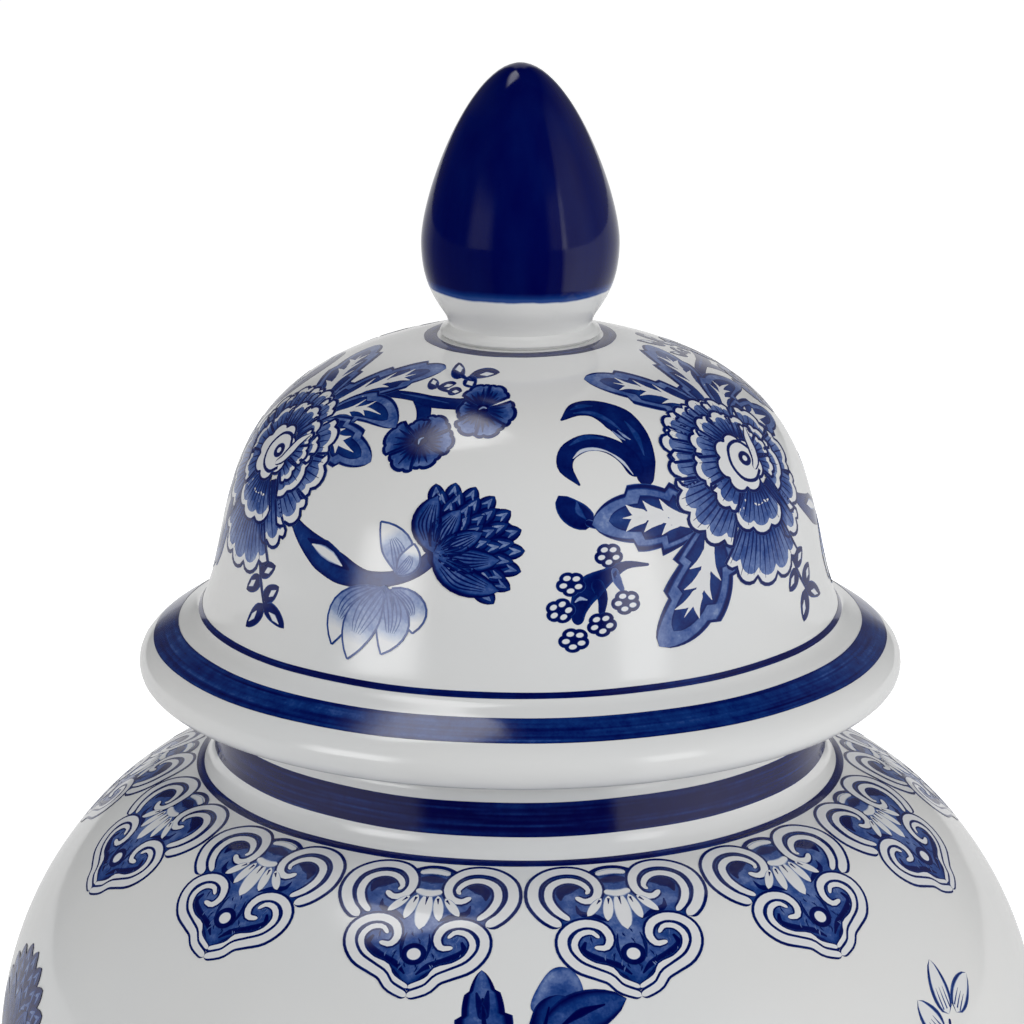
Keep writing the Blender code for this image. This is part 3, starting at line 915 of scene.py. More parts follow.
def upper_sprigs(pen):
    """The two leafy twigs above the branch."""
    lower = (((36, 28.6), (30.6, 32.4)), ((41, 27.8), (46, 28.6)), ((36.4, 28.8), (42, 31.6)))
    sprig(pen, lower, [(33.6, 30.8), (37.6, 28.8), (43.6, 27.6)], 1.8, 2)
    top = (((42.6, 34.2), (34.2, 40.8)), ((44, 34.4), (49.8, 30.6)), ((45, 35.6), (57.6, 37.8)))
    sprig(pen, top, [(38, 38), (43, 34.6), (46.6, 33.4)], 2.5, 2)


def bottom_sprig(pen):
    """The small leafy twig that hangs below the peony."""
    leaves = (
        ((7.6, -29.6), (3.2, -34.2)), ((7.2, -29.6), (12.2, -26)), ((10.2, -35), (14.2, -30.4)),
        ((10, -35.6), (17.6, -39.4)), ((9.8, -35.6), (6, -42.4)),
    )
    sprig(pen, leaves, [(6.4, -26.6), (8.4, -31.6), (10.2, -35.4)], 2, 2)


def lid_leaves(pen):
    """The lid spray's leaves, curling horns, bud and small blossoms on stalks."""
    berry_cluster(pen)
    big_leaf(pen, (0.6, 12), (-32.6, 33.4), (9.4, 8.4), -0.1, 3, 1, 3, 0.1)
    big_leaf(pen, (2.6, 10), (31.6, 37.4), (10, 9), 0.12, 4, 1, 3, 0.1)
    big_leaf(pen, (6, 10.4), (32.4, 13.6), (7.4, 5.4), 0.2, 2, 4, 2, 0.1)
    big_leaf(pen, (8, 10.4), (30.6, 3.4), (7, 6.6), -0.02, 3, 7, 2)
    horn_leaves(pen)
    bud_on_stalk(pen)
    big_leaf(pen, (-19.6, -12.6), (-44, -9.4), (9.4, 8.8), -0.1, 3, 4)
    big_leaf(pen, (-17.4, -12.4), (-32.4, -38.6), (9.4, 8.6), 0.1, 3, 7)
    upper_sprigs(pen)
    bottom_sprig(pen)


def lid_flowers(pen):
    """The lid spray's side flowers: branch with two blossoms, slit stem with lotus and thistle."""
    slit_stem(pen.at(-2.4, 0))
    branch(pen.at(-2, 0))
    lotus(pen.at(-0.6, -2.2, 0, 0.94), 1)
    thistle(pen.at(-2.4, -2.2), 1)
    cloud_blossom(pen, 55.2, 22.4, 0, 2, 0.98, 3)
    cloud_blossom(pen, 41.2, 10.6, 60, 2, 0.92, 5)


def peony_part(pen):
    """A spray's main flower, over the roots of everything else."""
    peony(pen, 10)


def rising_horn(pen, layer=0):
    """A broad dark leaf that rises beside the belly peony, with a pale hood and a tip turned sideways."""
    hood = [(-6, 85.6), (-3, 92.4), (0.2, 95.2), (3.6, 95.1), (6.2, 92.6), (6.8, 88), (0, 83)]
    pen.blob((1.2, 89.4), curve(hood, 40, True)[:-1], (0.6, 0.5, 0.44, 0.62), layer, (0, 0.4, 0.84, 1))
    body = [(0.5, 30), (-0.5, 56), (-0.8, 72), (0, 82), (1.4, 88.6)]
    across = both_sides((1, 0.8), (0.9, 1), (0.6, 0.74), (0, 0.68))
    pen.stroke(body, (14, 19, 18.6, 15.4, 9), layer=layer + 1, across=across)
    across = both_sides((1, 0.8), (0.86, 1), (0.6, 0.7), (0, 0.6))
    filled_leaf(pen, (-3, 79.6), (17.4, 87), (5.6, 5.2), across, layer + 2, 0.04)
    folds = (
        [(-4, 58), (-4.4, 74), (-1.6, 86)], [(3.4, 56), (3.4, 68), (1, 78)],
        [(-0.6, 50), (-0.8, 66), (0, 80)], [(0.4, 81), (6, 84.4), (12, 86)],
    )
    for fold in folds:
        pen.stroke(fold, (0.4, 2.2, 0.4), 1, layer + 3, rim=0.84)


def side_branch(pen):
    """A rising leafy branch that fills the space between two belly sprays."""
    trunk = [(4, -56), (-5, -36), (3, -10), (-3, 16), (2, 40)]
    pen.stroke(trunk, (5, 4.6, 4, 3.4, 2.4), 0.84, 0, rim=LINE)
    leaves = (
        ((-3, -38), (-42, -30), 0.1), ((0, -24), (40, -26), -0.1), ((2.6, -10), (-34, 6), -0.12),
        ((0, 4), (36, 14), 0.12), ((-2, 18), (-26, 40), -0.1), ((0, 26), (28, 48), 0.1),
    )
    for base, tip, bend in leaves:
        big_leaf(pen, base, tip, (9, 8.4), bend, 3, 1)
    cloud_blossom(pen, 1, 52, 20, 5, 1.5, 8)


def belly_peony(pen):
    """The belly spray's large peony."""
    peony(pen.at(0, 0, 0, BELLY_SCALE), 10)


def belly_leaves(pen):
    """The belly spray's leaves: a tall leaf and a mirrored horn above, and broad leaves all round."""
    big = pen.at(0, 0, 0, BELLY_SCALE)
    berry_cluster(pen.at(22, -46, 0, BELLY_SCALE))
    veined_leaf(pen, (-6, 30), (-18.4, 94.6), (10.4, 10.4), 0.03, 12, 1)
    rising_horn(pen, 3)
    big_leaf(big, (4, 13), (33, 27.4), (8, 7.6), 0.12, 3, 1)
    big_leaf(big, (9, 9.4), (30, -4.6), (5.8, 5.4), 0.12, 2, 4, 2)
    big_leaf(big, (10, -12), (34, -30), (8.4, 8), -0.1, 3, 4)
    big_leaf(big, (-16, 8), (-38, 26.4), (8.6, 8), 0.1, 3, 1)
    big_leaf(big, (-15, -16), (-24.4, -43), (9, 8.6), 0.1, 3, 7)
    bottom_sprig(big)
    side_branch(pen.at(180, -78, 0, 0.98))
    pen.stroke([(86, 26), (98, 44), (106, 63.6)], (1.6, 1.6, 1), LINE, 1)
    for base, tip in (((102.4, 61), (97, 71)), ((106.5, 64.6), (107.8, 78)), ((109.5, 64), (120, 70.4))):
        outlined_leaf(pen, base, tip, 3.6, 2)


def belly_flowers(pen):
    """The belly spray's side flowers: thistle and lotus on a long mirrored stem, and the blossom branch."""
    root = [(-40, -12), (-62, -18), (-84, -15), (-106, -3)]
    pen.stroke(root, (4, 6, 5, 4.4), 0.76, 0, rim=LINE)
    hand = pen.at(-61.6, -4.4, -40, 2, -1)
    slit_stem(hand)
    lotus(hand, 1)
    thistle(pen.at(-110, -12, -60, 1.39, -1), 1)
    twig = pen.at(0, 0, -14, BELLY_SCALE)
    branch(twig)
    cloud_blossom(twig, 58.6, 23.8, 0, 2, 1, 3)
    cloud_blossom(twig, 45.4, 11.4, 60, 2, 0.92, 5)


# ---------------------------------------------------------------- painted borders

def lappet_interior():
    """Half of the cloud head's blue ground, from its top centre to its tip."""
    upper = [np.array((13, -10.4)) + polar(7.6, angle) for angle in (126, 90, 55, 20, -15, -50)]
    lower = [np.array((9, -25.2)) + polar(5.6, angle) for angle in (35, 5, -25, -60)]
    return np.vstack([(0, -2.4), (3.6, -3), upper, lower, (4.6, -32.6), (0, -36.4)])


# White scrolls on the right half of a lappet, as (points, widths, layer)
LAPPET_SCROLLS = (
    (
        [(13.2, -17.6), (16, -15.2), (17.8, -11.6), (17.2, -8), (14.4, -6), (11.2, -5.8), (8.6, -7.2),
         (7.4, -9.4), (8.2, -10.4)],
        (2, 2.9, 3.1, 3.1, 3, 2.9, 2.8, 2.4, 1.4), 4,
    ),
    (
        [(0, -35.6), (4, -33.2), (5.4, -31), (9.2, -29.6), (12, -27.2), (12.8, -24), (11.2, -21.6),
         (8.6, -21.2), (7, -22.8)],
        (1.7, 1.9, 2.2, 2.4, 2.5, 2.5, 2.4, 2.2, 1.4), 4,
    ),
    (
        [(15.4, -19.2), (19, -16.4), (21.6, -11.8), (21, -6.8), (17.6, -3.4), (13, -2.2), (8.6, -3),
         (5.6, -5.8), (4.8, -9.2), (6.2, -11.9), (8.8, -12.6), (11, -11.2)],
        (3.7, 4, 4.2, 4.1, 4, 3.9, 3.8, 3.7, 3.5, 3.3, 2.9, 2), 5,
    ),
    (
        [(0, -37.6), (4, -35.6), (6, -33.2), (8.4, -31.9), (12.6, -29.6), (15.2, -25.8), (15.2, -22.2),
         (12.8, -19.6), (9.2, -18.8), (5.8, -20.2), (4.6, -23.2), (5.8, -25.4), (8.4, -25.2)],
        (2.5, 2.8, 3, 3.2, 3.5, 3.6, 3.6, 3.5, 3.4, 3.3, 3.1, 2.7, 1.6), 6,
    ),
)


def lappet(pen):
    """A cloud-head lappet: scrolled white bands between lines, mottled heart, white palmette and dot."""
    random = np.random.default_rng(5)
    half = curve(lappet_interior(), 40)
    ground = np.vstack([half, (half * (-1, 1))[::-1][1:-1]])
    pen.blob((0, -17), ground, (0.5, 0.5, 0.58, 0.84), 0, (0, 0.4, 0.84, 1))
    for side in (1, -1):
        hand = pen.at(0, 0, 0, 1, side)
        shadows = (
            ([(9.4, -7.8), (12.6, -8.2), (14.6, -9.8), (14.8, -12)], (1, 3.8, 3, 0.4), 0.97),
            ([(11.2, -13.6), (10.6, -15.8), (7, -17), (4, -18.6)], (0.3, 1.6, 1.6, 0.3), 0.92),
            (
                [(10.2, -23.6), (11, -26), (7.4, -28.4), (3.4, -30.2), (1.2, -32.4)],
                (0.6, 2, 1.8, 1.6, 0.4), 0.96,
            ),
            ([(2.6, -22), (3.2, -25), (2.8, -28.6)], (0.2, 1, 0.2), 0.9),
            ([(1, -34.6), (2.6, -33.2), (4.6, -30.8)], (0.4, 1.2, 0.4), 0.95),
        )
        for line, widths, ink in shadows:
            hand.stroke(line, widths, ink, 1, rim=0.8)
        for k in range(30):
            spot = np.array((0.6 + 9.5 * random.random(), -19 - 12 * random.random()))
            away = polar(0.9 + 1.2 * random.random(), 90 + 60 * (random.random() - 0.5))
            fleck = [spot - away / 2, spot + (0.15, 0), spot + away / 2]
            hand.stroke(fleck, (0.1, 0.45, 0.1), 0.46 if k % 2 else 0.9, 3, rim=0.66)
        for line, widths, level in LAPPET_SCROLLS:
            hand.stroke(line, widths, BARE, level, across=DOUBLE_LINE)
    pen.stroke([(-5.6, -3.2), (-3, -1.9), (0, -1.5), (3, -1.9), (5.6, -3.2)], 1.1, LINE, 7, rim=0.6)
    pen.stroke([(-4.2, -4), (0, -3.3), (4.2, -4)], (1.5, 1.9, 1.5), BARE, 8, rim=0.3)
    pen.stroke([(-3.6, -6.4), (0, -6), (3.6, -6.4)], (1.4, 3.4, 1.4), LINE, 4, rim=0.7)
    pen.stroke([(-3.4, -10), (0, -10.8), (3.4, -10)], (1.6, 2.4, 1.6), BARE, 8, rim=0.3)
    petals = (
        ((0, -10.6), (0, -21), 2.2), ((2.6, -11.4), (4.2, -18.4), 1.4), ((-2.6, -11.4), (-4.2, -18.4), 1.4),
        ((4.6, -12), (8.8, -16.8), 1.2), ((-4.6, -12), (-8.8, -16.8), 1.2),
    )
    for base, tip, half_width in petals:
        across = both_sides((1, 0.5), (0.8, BARE), (0, BARE))
        filled_leaf(pen, base, tip, half_width, across, 7, peak=1, fullness=0.5)
        vein = [on_leaf(base, tip, 0, 0.1), on_leaf(base, tip, 0, 0.34)]
        pen.stroke(vein, (0.7, 0.15), LINE, 8, rim=0.5)
    dot = scalloped(2.9, 2.8, 1, 0, 24) + (0, -27.4)
    pen.blob((0, -27.4), dot, (BARE, BARE, LINE, 0.97, 0.8), 5, (0, 0.5, 0.58, 0.92, 1))


def foot_panel(pen):
    """An upright pointed panel of the foot border, drawn from its base at the origin."""
    border = both_sides((1, 0.5), (0.93, LINE), (0.85, LINE), (0.79, BARE), (0, BARE))
    filled_leaf(pen, (0, -7.5), (0, 43), 10.9, border, 0, peak=1.3, fullness=0.5)
    heart = both_sides((1, 0.6), (0.9, LINE), (0.72, 0.84), (0, 0.66))
    filled_leaf(pen, (0, -4.5), (0, 37), 7.6, heart, 1, peak=1.3, fullness=0.5)
    pen.stroke([(0, 0), (0, 14), (0, 29)], (1.2, 2, 0.3), BARE, 2, rim=0.4)
    for side in (-1, 1):
        for root in (6, 14):
            barb = [(0, root), (side * 2.4, root + 3.2), (side * 3.6, root + 8)]
            pen.stroke(barb, (1, 0.9, 0.2), BARE, 2, rim=0.4)


def ring_sheet(chart, start, end, ink, seed):
    """A painted band all the way round, darker at its edges, with brush streaks that run round it."""
    sheet = Sheet(chart, 0)
    random = np.random.default_rng(seed)
    rows = max(5, int((end - start) / 0.5) + 1)
    s = np.r_[start, start + 0.08, np.linspace(start + 0.3, end - 0.3, rows), end - 0.08, end]
    streak = random.normal(0, 1, (len(s), STREAK_KNOTS))
    place = np.arange(RING_CELLS) / RING_CELLS * STREAK_KNOTS
    low = np.floor(place).astype(int)
    share = place - low
    share = share * share * (3 - 2 * share)
    streak = streak[:, low] * (1 - share) + streak[:, (low + 1) % STREAK_KNOTS] * share
    tone = np.minimum(ink + STREAKS * streak, 1)
    tone[1] = tone[-2] = LINE
    tone[0] = tone[-1] = LINE * 0.6
    turns = np.arange(RING_CELLS) / RING_CELLS * math.tau
    wobble = 0.07 * np.sin(5 * turns + seed) + 0.05 * np.sin(13 * turns)
    down = s[:, None] + wobble
    x = np.broadcast_to(turns * chart.chart_radius, down.shape)
    sheet.slab(x, -down, tone, RING_LAYER, True, math.tau * chart.chart_radius)
    return sheet


# ---------------------------------------------------------------- materials

def plug(tree, made, **inputs):
    """Sets a node's inputs, named with _ for a space: sockets are linked to them, plain values kept."""
    for name, value in inputs.items():
        place = made.inputs[name.replace("_", " ")]
        if isinstance(value, bpy.types.NodeSocket):
            tree.links.new(value, place)
        else:
            place.default_value = value


def node(tree, kind, **values):
    """A shader node with its plain properties or its named inputs set."""
    made = tree.nodes.new(kind)
    for name, value in values.items():
        if hasattr(made, name):
            setattr(made, name, value)
        else:
            plug(tree, made, **{name: value})
    return made


def new_material(name):
    """An empty node material with its Principled shader; returns material, tree and shader."""
    made = bpy.data.materials.new(name)
    made.use_nodes = True
    return made, made.node_tree, made.node_tree.nodes["Principled BSDF"]


def noise(tree, coords, scale, detail=2.0, roughness=0.5):
    """A noise value between 0 and 1 at a scale in cycles a metre."""
    made = node(tree, "ShaderNodeTexNoise", Vector=coords, Scale=scale, Detail=detail, Roughness=roughness)
    return made.outputs["Fac"]


def remap(tree, value, low, high, to_low, to_high, kind="LINEAR"):
    """A value carried from one range to another."""
    made = node(tree, "ShaderNodeMapRange", interpolation_type=kind, Value=value)
    plug(tree, made, From_Min=low, From_Max=high, To_Min=to_low, To_Max=to_high)
    return made.outputs["Result"]


def maths(tree, kind, first, second=0.0):
    """Arithmetic on two values, each a socket or a number."""
    made = node(tree, "ShaderNodeMath", operation=kind)
    for place, item in enumerate((first, second)):
        if isinstance(item, (int, float)):
            made.inputs[place].default_value = item
        else:
            tree.links.new(item, made.inputs[place])
    return made.outputs[0]


def product(tree, first, *others):
    """Several values multiplied together, each a socket or a number."""
    for other in others:
        first = maths(tree, "MULTIPLY", first, other)
    return first


def mixed(tree, share, first, second):
    """A colour between two, each a socket or three numbers."""
    made = node(tree, "ShaderNodeMix", data_type="RGBA")
    for place, item in ((0, share), (6, first), (7, second)):
        if isinstance(item, tuple):
            made.inputs[place].default_value = (*item, 1.0)
        else:
            tree.links.new(item, made.inputs[place])
    return made.outputs[2]


def bumped(tree, height, strength, depth, **more):
    """A surface direction bent by a height value."""
    made = node(tree, "ShaderNodeBump", Height=height, Strength=strength, Distance=depth, **more)
    return made.outputs["Normal"]


def glaze_surface(tree, shader, coords):
    """The clear glaze over everything: glossy, faintly wavy, with fine orange peel; returns its roughness."""
    wave = noise(tree, coords, 28.0, 1.0)
    peel = noise(tree, coords, 420.0, 2.0)
    smudge = noise(tree, coords, 70.0, 3.0)
    gloss = remap(tree, smudge, 0.3, 0.7, GLAZE_ROUGHNESS * 0.8, GLAZE_ROUGHNESS * 1.25)
    wavy = bumped(tree, wave, 1.0, WAVE_DEPTH)
    peeled = bumped(tree, peel, 1.0, PEEL_DEPTH, Normal=wavy)
    plug(tree, shader, Roughness=gloss, Normal=peeled, IOR=GLAZE_IOR)
    return gloss


def porcelain_colour(tree, coords):
    """White porcelain seen through glaze, very slightly uneven."""
    cloudy = noise(tree, coords, 9.0, 3.0)
    return mixed(tree, remap(tree, cloudy, 0.35, 0.65, 0.0, 1.0), PORCELAIN_COOL, PORCELAIN_WARM)


def position(tree):
    """Place on the object in metres; the bodies' own frame at rest."""
    return node(tree, "ShaderNodeTexCoord").outputs["Object"]


def parts_of(tree, coords):
    """The X, Y and Z of a place."""
    return node(tree, "ShaderNodeSeparateXYZ", Vector=coords).outputs


def height_of(tree, coords):
    """The height part of a place."""
    return parts_of(tree, coords)["Z"]


def porcelain(name, bare_below):
    """Glazed porcelain whose resting face, below a height in mm, is left unglazed."""
    made, tree, shader = new_material(name)
    coords = position(tree)
    gloss = glaze_surface(tree, shader, coords)
    bare = remap(tree, height_of(tree, coords), (bare_below - 0.2) * MM, (bare_below + 0.2) * MM, 1.0, 0.0)
    clay = mixed(tree, noise(tree, coords, CLAY_GRAIN, 3.0), BISQUE_DARK, BISQUE_LIGHT)
    colour = mixed(tree, bare, porcelain_colour(tree, coords), clay)
    rough = maths(tree, "MAXIMUM", gloss, maths(tree, "MULTIPLY", bare, 0.7))
    plug(tree, shader, Base_Color=colour, Roughness=rough)
    return made


def azimuth_of(tree, coords):
    """Degrees round +Z from the front towards +X."""
    split = parts_of(tree, coords)
    front = maths(tree, "MULTIPLY", split["Y"], -1.0)
    return maths(tree, "DEGREES", maths(tree, "ARCTAN2", split["X"], front))


def ramp(tree, value, levels):
    """A colour looked up along (place, colour) pairs, whose first place is 0 and last is 1."""
    made = node(tree, "ShaderNodeValToRGB", Fac=value)
    stops = made.color_ramp.elements
    stops[0].color = (*levels[0][1], 1.0)
    stops[1].color = (*levels[-1][1], 1.0)
    for place, colour in levels[1:-1]:
        stops.new(place).color = (*colour, 1.0)
    return made.outputs["Color"]


def by_azimuth(tree, turn, levels):
    """A grey brightness looked up along (azimuth, brightness) pairs from -180 to 180 degrees."""
    stops = [(degrees / 360.0 + 0.5, (level, level, level)) for degrees, level in levels]
    return ramp(tree, remap(tree, turn, -180.0, 180.0, 0.0, 1.0), stops)


def uneven_ink(tree, coords, ink):
    """Ink strength broken up by watery pooling and pigment grain, most of all in the middle tones."""
    pooling = noise(tree, coords, 260.0, 3.0, 0.6)
    grain = noise(tree, coords, 1600.0, 2.0)
    pools = product(tree, maths(tree, "SUBTRACT", pooling, 0.5), POOLING)
    drift = maths(tree, "ADD", pools, product(tree, maths(tree, "SUBTRACT", grain, 0.5), PIGMENT_GRAIN))
    wetness = product(tree, ink, maths(tree, "SUBTRACT", 1.04, ink), 4.0)
    return maths(tree, "ADD", ink, product(tree, drift, maths(tree, "MINIMUM", wetness, 1.0)))


def painted(name):
    """Cobalt decoration under the same glaze, its strength from each piece's ink attribute."""
    made, tree, shader = new_material(name)
    coords = position(tree)
    glaze_surface(tree, shader, coords)
    ink = node(tree, "ShaderNodeAttribute", attribute_name="ink").outputs["Fac"]
    plug(tree, shader, Base_Color=ramp(tree, uneven_ink(tree, coords, ink), COBALT_STOPS))
    return made


def finial_glaze(name):
    """White glaze at the foot and deep cobalt above a hand-brushed edge, with painted shade over the
    reflections on its front.
    """
    made, tree, shader = new_material(name)
    coords = position(tree)
    glaze_surface(tree, shader, coords)
    ragged = maths(tree, "SUBTRACT", noise(tree, coords, 90.0, 3.0), 0.5)
    height = maths(tree, "ADD", height_of(tree, coords), product(tree, ragged, FINIAL_EDGE_WOBBLE * MM))
    above = remap(tree, height, (FINIAL_BLUE_Z - 0.3) * MM, (FINIAL_BLUE_Z + 0.3) * MM, 0.0, 1.0)
    pooled = remap(tree, height, (FINIAL_BLUE_Z + 0.8) * MM, (FINIAL_BLUE_Z + 2.6) * MM, 0.58, FINIAL_INK)
    drawn_out = node(tree, "ShaderNodeMapping", Vector=coords, Scale=(1.0, 1.0, 0.25)).outputs[0]
    streak = product(tree, maths(tree, "SUBTRACT", noise(tree, drawn_out, 160.0, 3.0), 0.5), 0.1)
    ink = product(tree, above, maths(tree, "ADD", pooled, streak))
    colour = mixed(tree, above, porcelain_colour(tree, coords), ramp(tree, ink, COBALT_STOPS))
    # Painted shade on reflections: the specular level drops on the bud's front-facing blue body, below a
    # height
    turn = azimuth_of(tree, coords)
    left = remap(tree, turn, -100.0, -60.0, 0.0, 1.0)
    right = remap(tree, turn, *BUD_SHADE_EDGE, 1.0, 0.0)
    body = remap(tree, height, *BUD_SHADE_TOP, 1.0, 0.0)
    shade = product(tree, product(tree, left, right), product(tree, body, above))
    shine = remap(tree, shade, 0.0, 1.0, *BUD_SHADE_SPECULAR)
    plug(tree, shader, Base_Color=colour, Specular_IOR_Level=shine)
    return made


def bisque(name):
    """Unglazed fired porcelain: matt, fine grained and a little warm."""
    made, tree, shader = new_material(name)
    coords = position(tree)
    grain = noise(tree, coords, CLAY_GRAIN, 3.0)
    stained = remap(tree, noise(tree, coords, 60.0, 2.0), 0.4, 0.7, 0.0, 0.25)
    clay = mixed(tree, stained, mixed(tree, grain, BISQUE_DARK, BISQUE_LIGHT), BISQUE_STAIN)
    plug(tree, shader, Base_Color=clay, Roughness=0.62, Normal=bumped(tree, grain, 0.6, GRAIN_DEPTH))
    return made


def felt(name):
    """Grey pressed felt with a fibrous nap."""
    made, tree, shader = new_material(name)
    coords = position(tree)
    fibre = noise(tree, coords, 2600.0, 4.0, 0.7)
    clump = noise(tree, coords, 500.0, 2.0)
    nap = maths(tree, "ADD", product(tree, fibre, 0.7), product(tree, clump, 0.3))
    grey = mixed(tree, remap(tree, nap, 0.3, 0.7, 0.0, 1.0), FELT_DARK, FELT_LIGHT)
    fuzzy = bumped(tree, nap, 0.9, NAP_DEPTH)
    plug(tree, shader, Base_Color=grey, Roughness=0.95, Sheen_Weight=0.4, Normal=fuzzy)
    return made


# ---------------------------------------------------------------- ceramic pieces and pads

def felt_pad(number, look):
    """A pressed felt disc with a soft worn edge, standing for one CAD pad."""
    low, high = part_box(f"foot_pad_{number}")
    radius, height = (high.x - low.x) / 2 / MM, (high.z - low.z) / MM
    outline = np.array([
        (0, 1.0), (0.5, 1.0), (0.85, 0.99), (0.94, 0.94), (0.985, 0.8),
        (1.0, 0.55), (0.99, 0.25), (0.95, 0.06), (0.9, 0.0), (0.5, 0.0), (0, 0.0),
    ]) * (radius, height)
    mesh = turned_mesh(f"felt_pad_{number}", outline, steps=PAD_STEPS)
    centre = (low + high) / 2
    random = np.random.default_rng(number)
    for vertex in mesh.vertices:
        frayed = 1.0 - 0.02 * random.random()
        vertex.co.x = vertex.co.x * frayed + centre.x
        vertex.co.y = vertex.co.y * frayed + centre.y
    return new_object(f"felt_pad_{number}", mesh, look, "jar", "pad_felt", f"foot_pad_{number}")


def painted_piece(name, sheet, azimuths, look, body):
    """One piece of a sheet laid at some azimuths, riding on the body of the piece that it decorates."""
    new_object(name, sheet.mesh(name, azimuths), look, body, GLAZE_SLOTS[body])


def all_round(count, first=0.0):
    """Azimuths of count equal steps all the way round."""
    return [first + 360.0 / count * k for k in range(count)]


def spray_pieces(prefix, chart, level, azimuths, parts, look, body):
    """A flower spray laid at each azimuth, with one piece for each (name, drawing, layer) part."""
    for part, draw, layer in parts:
        sheet = Sheet(chart, level)
        draw(Pen(sheet, layer=layer))
        for turn, azimuth in enumerate(azimuths):
            painted_piece(f"{prefix}_{part}_{turn + 1}", sheet, (azimuth,), look, body)


# ---------------------------------------------------------------- stage

def plain_look(name, colour, glow):
    """A matt stage surface that glows a little, by itself and more towards the camera."""
    made, tree, shader = new_material(name)
    path = node(tree, "ShaderNodeLightPath").outputs
    mirror = path["Is Glossy Ray"]
    shine = remap(tree, path["Is Camera Ray"], 0.0, 1.0, *glow)
    ground = by_azimuth(tree, azimuth_of(tree, position(tree)), MIRRORED_GROUND)
    plug(
        tree, shader, Base_Color=mixed(tree, mirror, colour, MIRRORED_FLOOR), Roughness=0.9,
        Specular_IOR_Level=0.0, Emission_Color=(1.0, 1.0, 1.0, 1.0),
        Emission_Strength=mixed(tree, mirror, shine, ground),
    )
    return made


def floor_piece():
    """A plain pale floor, far wider than the jar."""
    mesh = bpy.data.meshes.new("floor")
    corners = [(x * FLOOR_HALF, y * FLOOR_HALF, 0.0) for x, y in ((-1, -1), (1, -1), (1, 1), (-1, 1))]
    mesh.from_pydata(corners, [], [(0, 1, 2, 3)])
    mesh.materials.append(plain_look("pale_floor", FLOOR_COLOUR, FLOOR_GLOW))
    linked("floor", mesh)


def softbox(name, azimuth, distance, height, width, tall, watts):
    """A rectangular light that faces the jar's axis from one side; azimuth 0 is the camera's side."""
    light = bpy.data.lights.new(name, "AREA")
    light.shape = "RECTANGLE"
    light.size = width
    light.size_y = tall
    light.energy = watts
    lamp = linked(name, light)
    angle = math.radians(azimuth)
    lamp.location = (distance * math.sin(angle), -distance * math.cos(angle), height)
    lamp.visible_glossy = False
    aim = Vector((0.0, 0.0, AIM_HEIGHT)) - lamp.location
    lamp.rotation_euler = aim.to_track_quat("-Z", "Y").to_euler()


def panel(tree, turn, lift, azimuth, elevation, half_width, half_height, softness, level):
    """Brightness of one soft-edged panel, from the azimuth and elevation seen, in degrees."""
    across = maths(tree, "ABSOLUTE", maths(tree, "SUBTRACT", turn, azimuth))
    upward = maths(tree, "ABSOLUTE", maths(tree, "SUBTRACT", lift, elevation))
    wide = remap(tree, across, half_width, half_width + softness, 1.0, 0.0, "SMOOTHERSTEP")
    tall = remap(tree, upward, half_height, half_height + softness, 1.0, 0.0, "SMOOTHERSTEP")
    return product(tree, wide, tall, level)


def mirrored_room(tree):
    """Brightness of the surroundings that the glaze mirrors: dark in front, with lit walls and panels."""
    seen = node(tree, "ShaderNodeTexCoord").outputs["Generated"]
    turn = azimuth_of(tree, seen)
    lift = maths(tree, "DEGREES", maths(tree, "ARCSINE", height_of(tree, seen)))
    height = remap(tree, lift, *WALL_TOP, 1.0, 0.0)
    total = product(tree, by_azimuth(tree, turn, MIRRORED_WALLS), height)
    for place in MIRRORED_PANELS:
        total = maths(tree, "ADD", total, panel(tree, turn, lift, *place))
    return total


def studio():
    """White surroundings, two tall softboxes at the front corners, one behind and a soft light overhead."""
    world = bpy.data.worlds.new("studio")
    world.use_nodes = True
    tree = world.node_tree
    tree.nodes.clear()
    path = node(tree, "ShaderNodeLightPath").outputs
    strength = remap(tree, path["Is Camera Ray"], 0.0, 1.0, WORLD_LIGHT, WORLD_SHOWN)
    seen = mixed(tree, path["Is Glossy Ray"], strength, mirrored_room(tree))
    background = node(tree, "ShaderNodeBackground", Color=seen)
    node(tree, "ShaderNodeOutputWorld", Surface=background.outputs[0])
    world.cycles.sampling_method = "NONE"
    bpy.context.scene.world = world
    for lamp in SOFTBOXES:
        softbox(*lamp)


def camera():
    """The camera at the reference viewing angle: a long lens above the lid, looking down a little."""
    lens = bpy.data.cameras.new("camera")
    lens.lens = CAMERA_LENS
    lens.sensor_width = CAMERA_SENSOR
    eye = linked("camera", lens)
    eye.location = CAMERA_PLACE
    eye.rotation_euler = (math.radians(90.0 - CAMERA_PITCH), 0.0, 0.0)
    bpy.context.scene.camera = eye
    bpy.context.scene.view_settings.view_transform = "Standard"


# ---------------------------------------------------------------- the jar

jar_line = cad_outline("jar_body")
lid_line = cad_outline("lid_cap")
vessel_look = porcelain("vessel_porcelain", FOOT_BARE_Z)
lid_look = porcelain("lid_porcelain", SEAT_BARE_Z)
bud_look = finial_glaze("finial_glaze")
ring_look = bisque("collar_bisque")
pad_look = felt("pad_felt")
paint_look = painted("cobalt_paint")

vessel = turned_mesh("jar_vessel", jar_line)
new_object("jar_vessel", vessel, vessel_look, "jar", "vessel_glaze", "jar_body")
dome = turned_mesh("lid_dome", lid_line)
new_object("lid_dome", dome, lid_look, "lid", "lid_glaze", "lid_cap")
bud = turned_mesh("bud_finial", cad_outline("finial"), steps=BUD_STEPS)
new_object("bud_finial", bud, bud_look, "lid", "finial_glaze", "finial")
ring = turned_mesh("locating_ring", cad_outline("lid_collar"), closed=True)
new_object("locating_ring", ring, ring_look, "collar", "collar_bisque", "lid_collar")
for pad in range(1, FELT_PADS + 1):
    felt_pad(pad, pad_look)

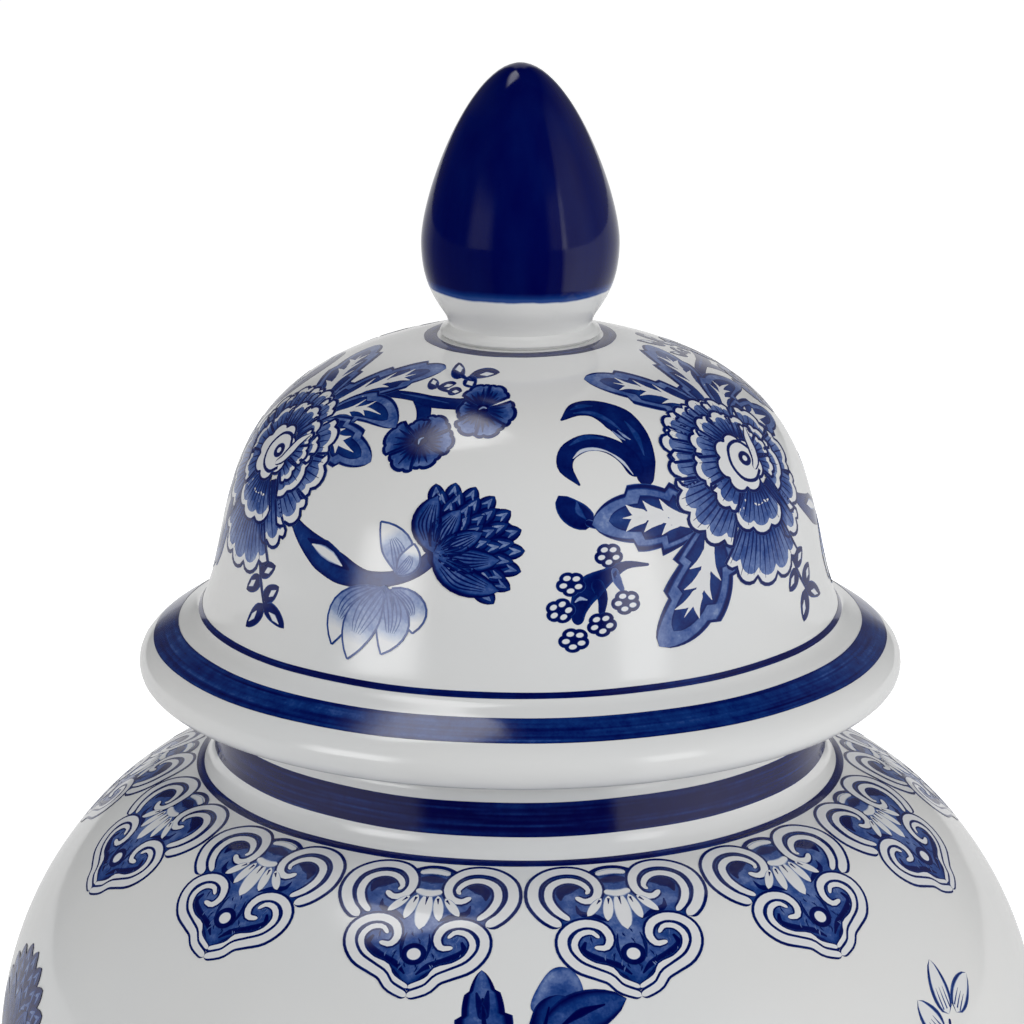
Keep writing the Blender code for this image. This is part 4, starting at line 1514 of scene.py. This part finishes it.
dome_run = outer_run(lid_line, CROWN_Z - 0.02, LID_CREASE_Z)
dome_chart = Chart(dome_run, LID_CHART_RADIUS)
crown_chart = Chart(np.vstack([(CROWN_RADIUS, CROWN_Z), dome_run[:8]]), CROWN_CHART_RADIUS)
flange_chart = Chart(outer_run(lid_line, LID_CREASE_Z, LIP_Z), FLANGE_CHART_RADIUS)
neck_chart = Chart(outer_run(jar_line, NECK_TOP_Z, SHOULDER_CREASE_Z), NECK_CHART_RADIUS)
shoulder_chart = Chart(outer_run(jar_line, SHOULDER_CREASE_Z, FOOT_EDGE_Z), SHOULDER_CHART_RADIUS)
belly_chart = Chart(shoulder_chart.run, BELLY_CHART_RADIUS)
foot_chart = Chart(shoulder_chart.run, FOOT_CHART_RADIUS)

# Bands and lines as (name, chart, start and end in mm down the chart, ink, body)
dome_end, neck_end, foot_end = (chart.s[-1] for chart in (dome_chart, neck_chart, foot_chart))
for title, chart, start, end, ink, body in (
    ("crown_ring", crown_chart, 4.4, 8.2, 0.94, "lid"),
    ("dome_foot_line", dome_chart, dome_end - 1.6, dome_end, LINE, "lid"),
    ("flange_band", flange_chart, 5.9, 13.2, 0.79, "lid"),
    ("neck_band", neck_chart, NECK_TOP_Z - 311.9, NECK_TOP_Z - 303.6, 0.97, "jar"),
    ("neck_foot_line", neck_chart, neck_end - 2.1, neck_end, LINE, "jar"),
    ("foot_upper_line", foot_chart, foot_end - 64.0, foot_end - 62.6, LINE, "jar"),
    ("foot_band", foot_chart, foot_end - 15.0, foot_end - 8.0, 0.92, "jar"),
    ("foot_lower_line", foot_chart, foot_end - 4.6, foot_end - 3.2, LINE, "jar"),
):
    sheet = ring_sheet(chart, start, end, ink, len(title))
    painted_piece(title, sheet, (0.0,), paint_look, body)

lid_azimuths = all_round(LID_REPEATS, LID_SPRAY_AZIMUTH)
lid_parts = (("leaves", lid_leaves, 0), ("side_flowers", lid_flowers, 0), ("peony", peony_part, 0))
spray_pieces("lid", dome_chart, LID_SPRAY_LEVEL, lid_azimuths, lid_parts, paint_look, "lid")

belly_azimuths = all_round(BELLY_SPRAYS, BELLY_SPRAY_AZIMUTH)
belly_parts = (("leaves", belly_leaves, 0), ("side_flowers", belly_flowers, 13), ("peony", belly_peony, 4))
spray_pieces("belly", belly_chart, BELLY_SPRAY_LEVEL, belly_azimuths, belly_parts, paint_look, "jar")

cloud = Sheet(shoulder_chart, 0.0)
lappet(Pen(cloud))
for group, azimuths in enumerate(np.array_split(all_round(LAPPETS, LAPPET_AZIMUTH), LAPPET_GROUPS)):
    painted_piece(f"shoulder_lappets_{group + 1}", cloud, azimuths, paint_look, "jar")

panels = Sheet(foot_chart, foot_end - FOOT_PANEL_RISE)
foot_panel(Pen(panels))
painted_piece("foot_panels", panels, all_round(FOOT_PANELS), paint_look, "jar")

floor_piece()
studio()
camera()
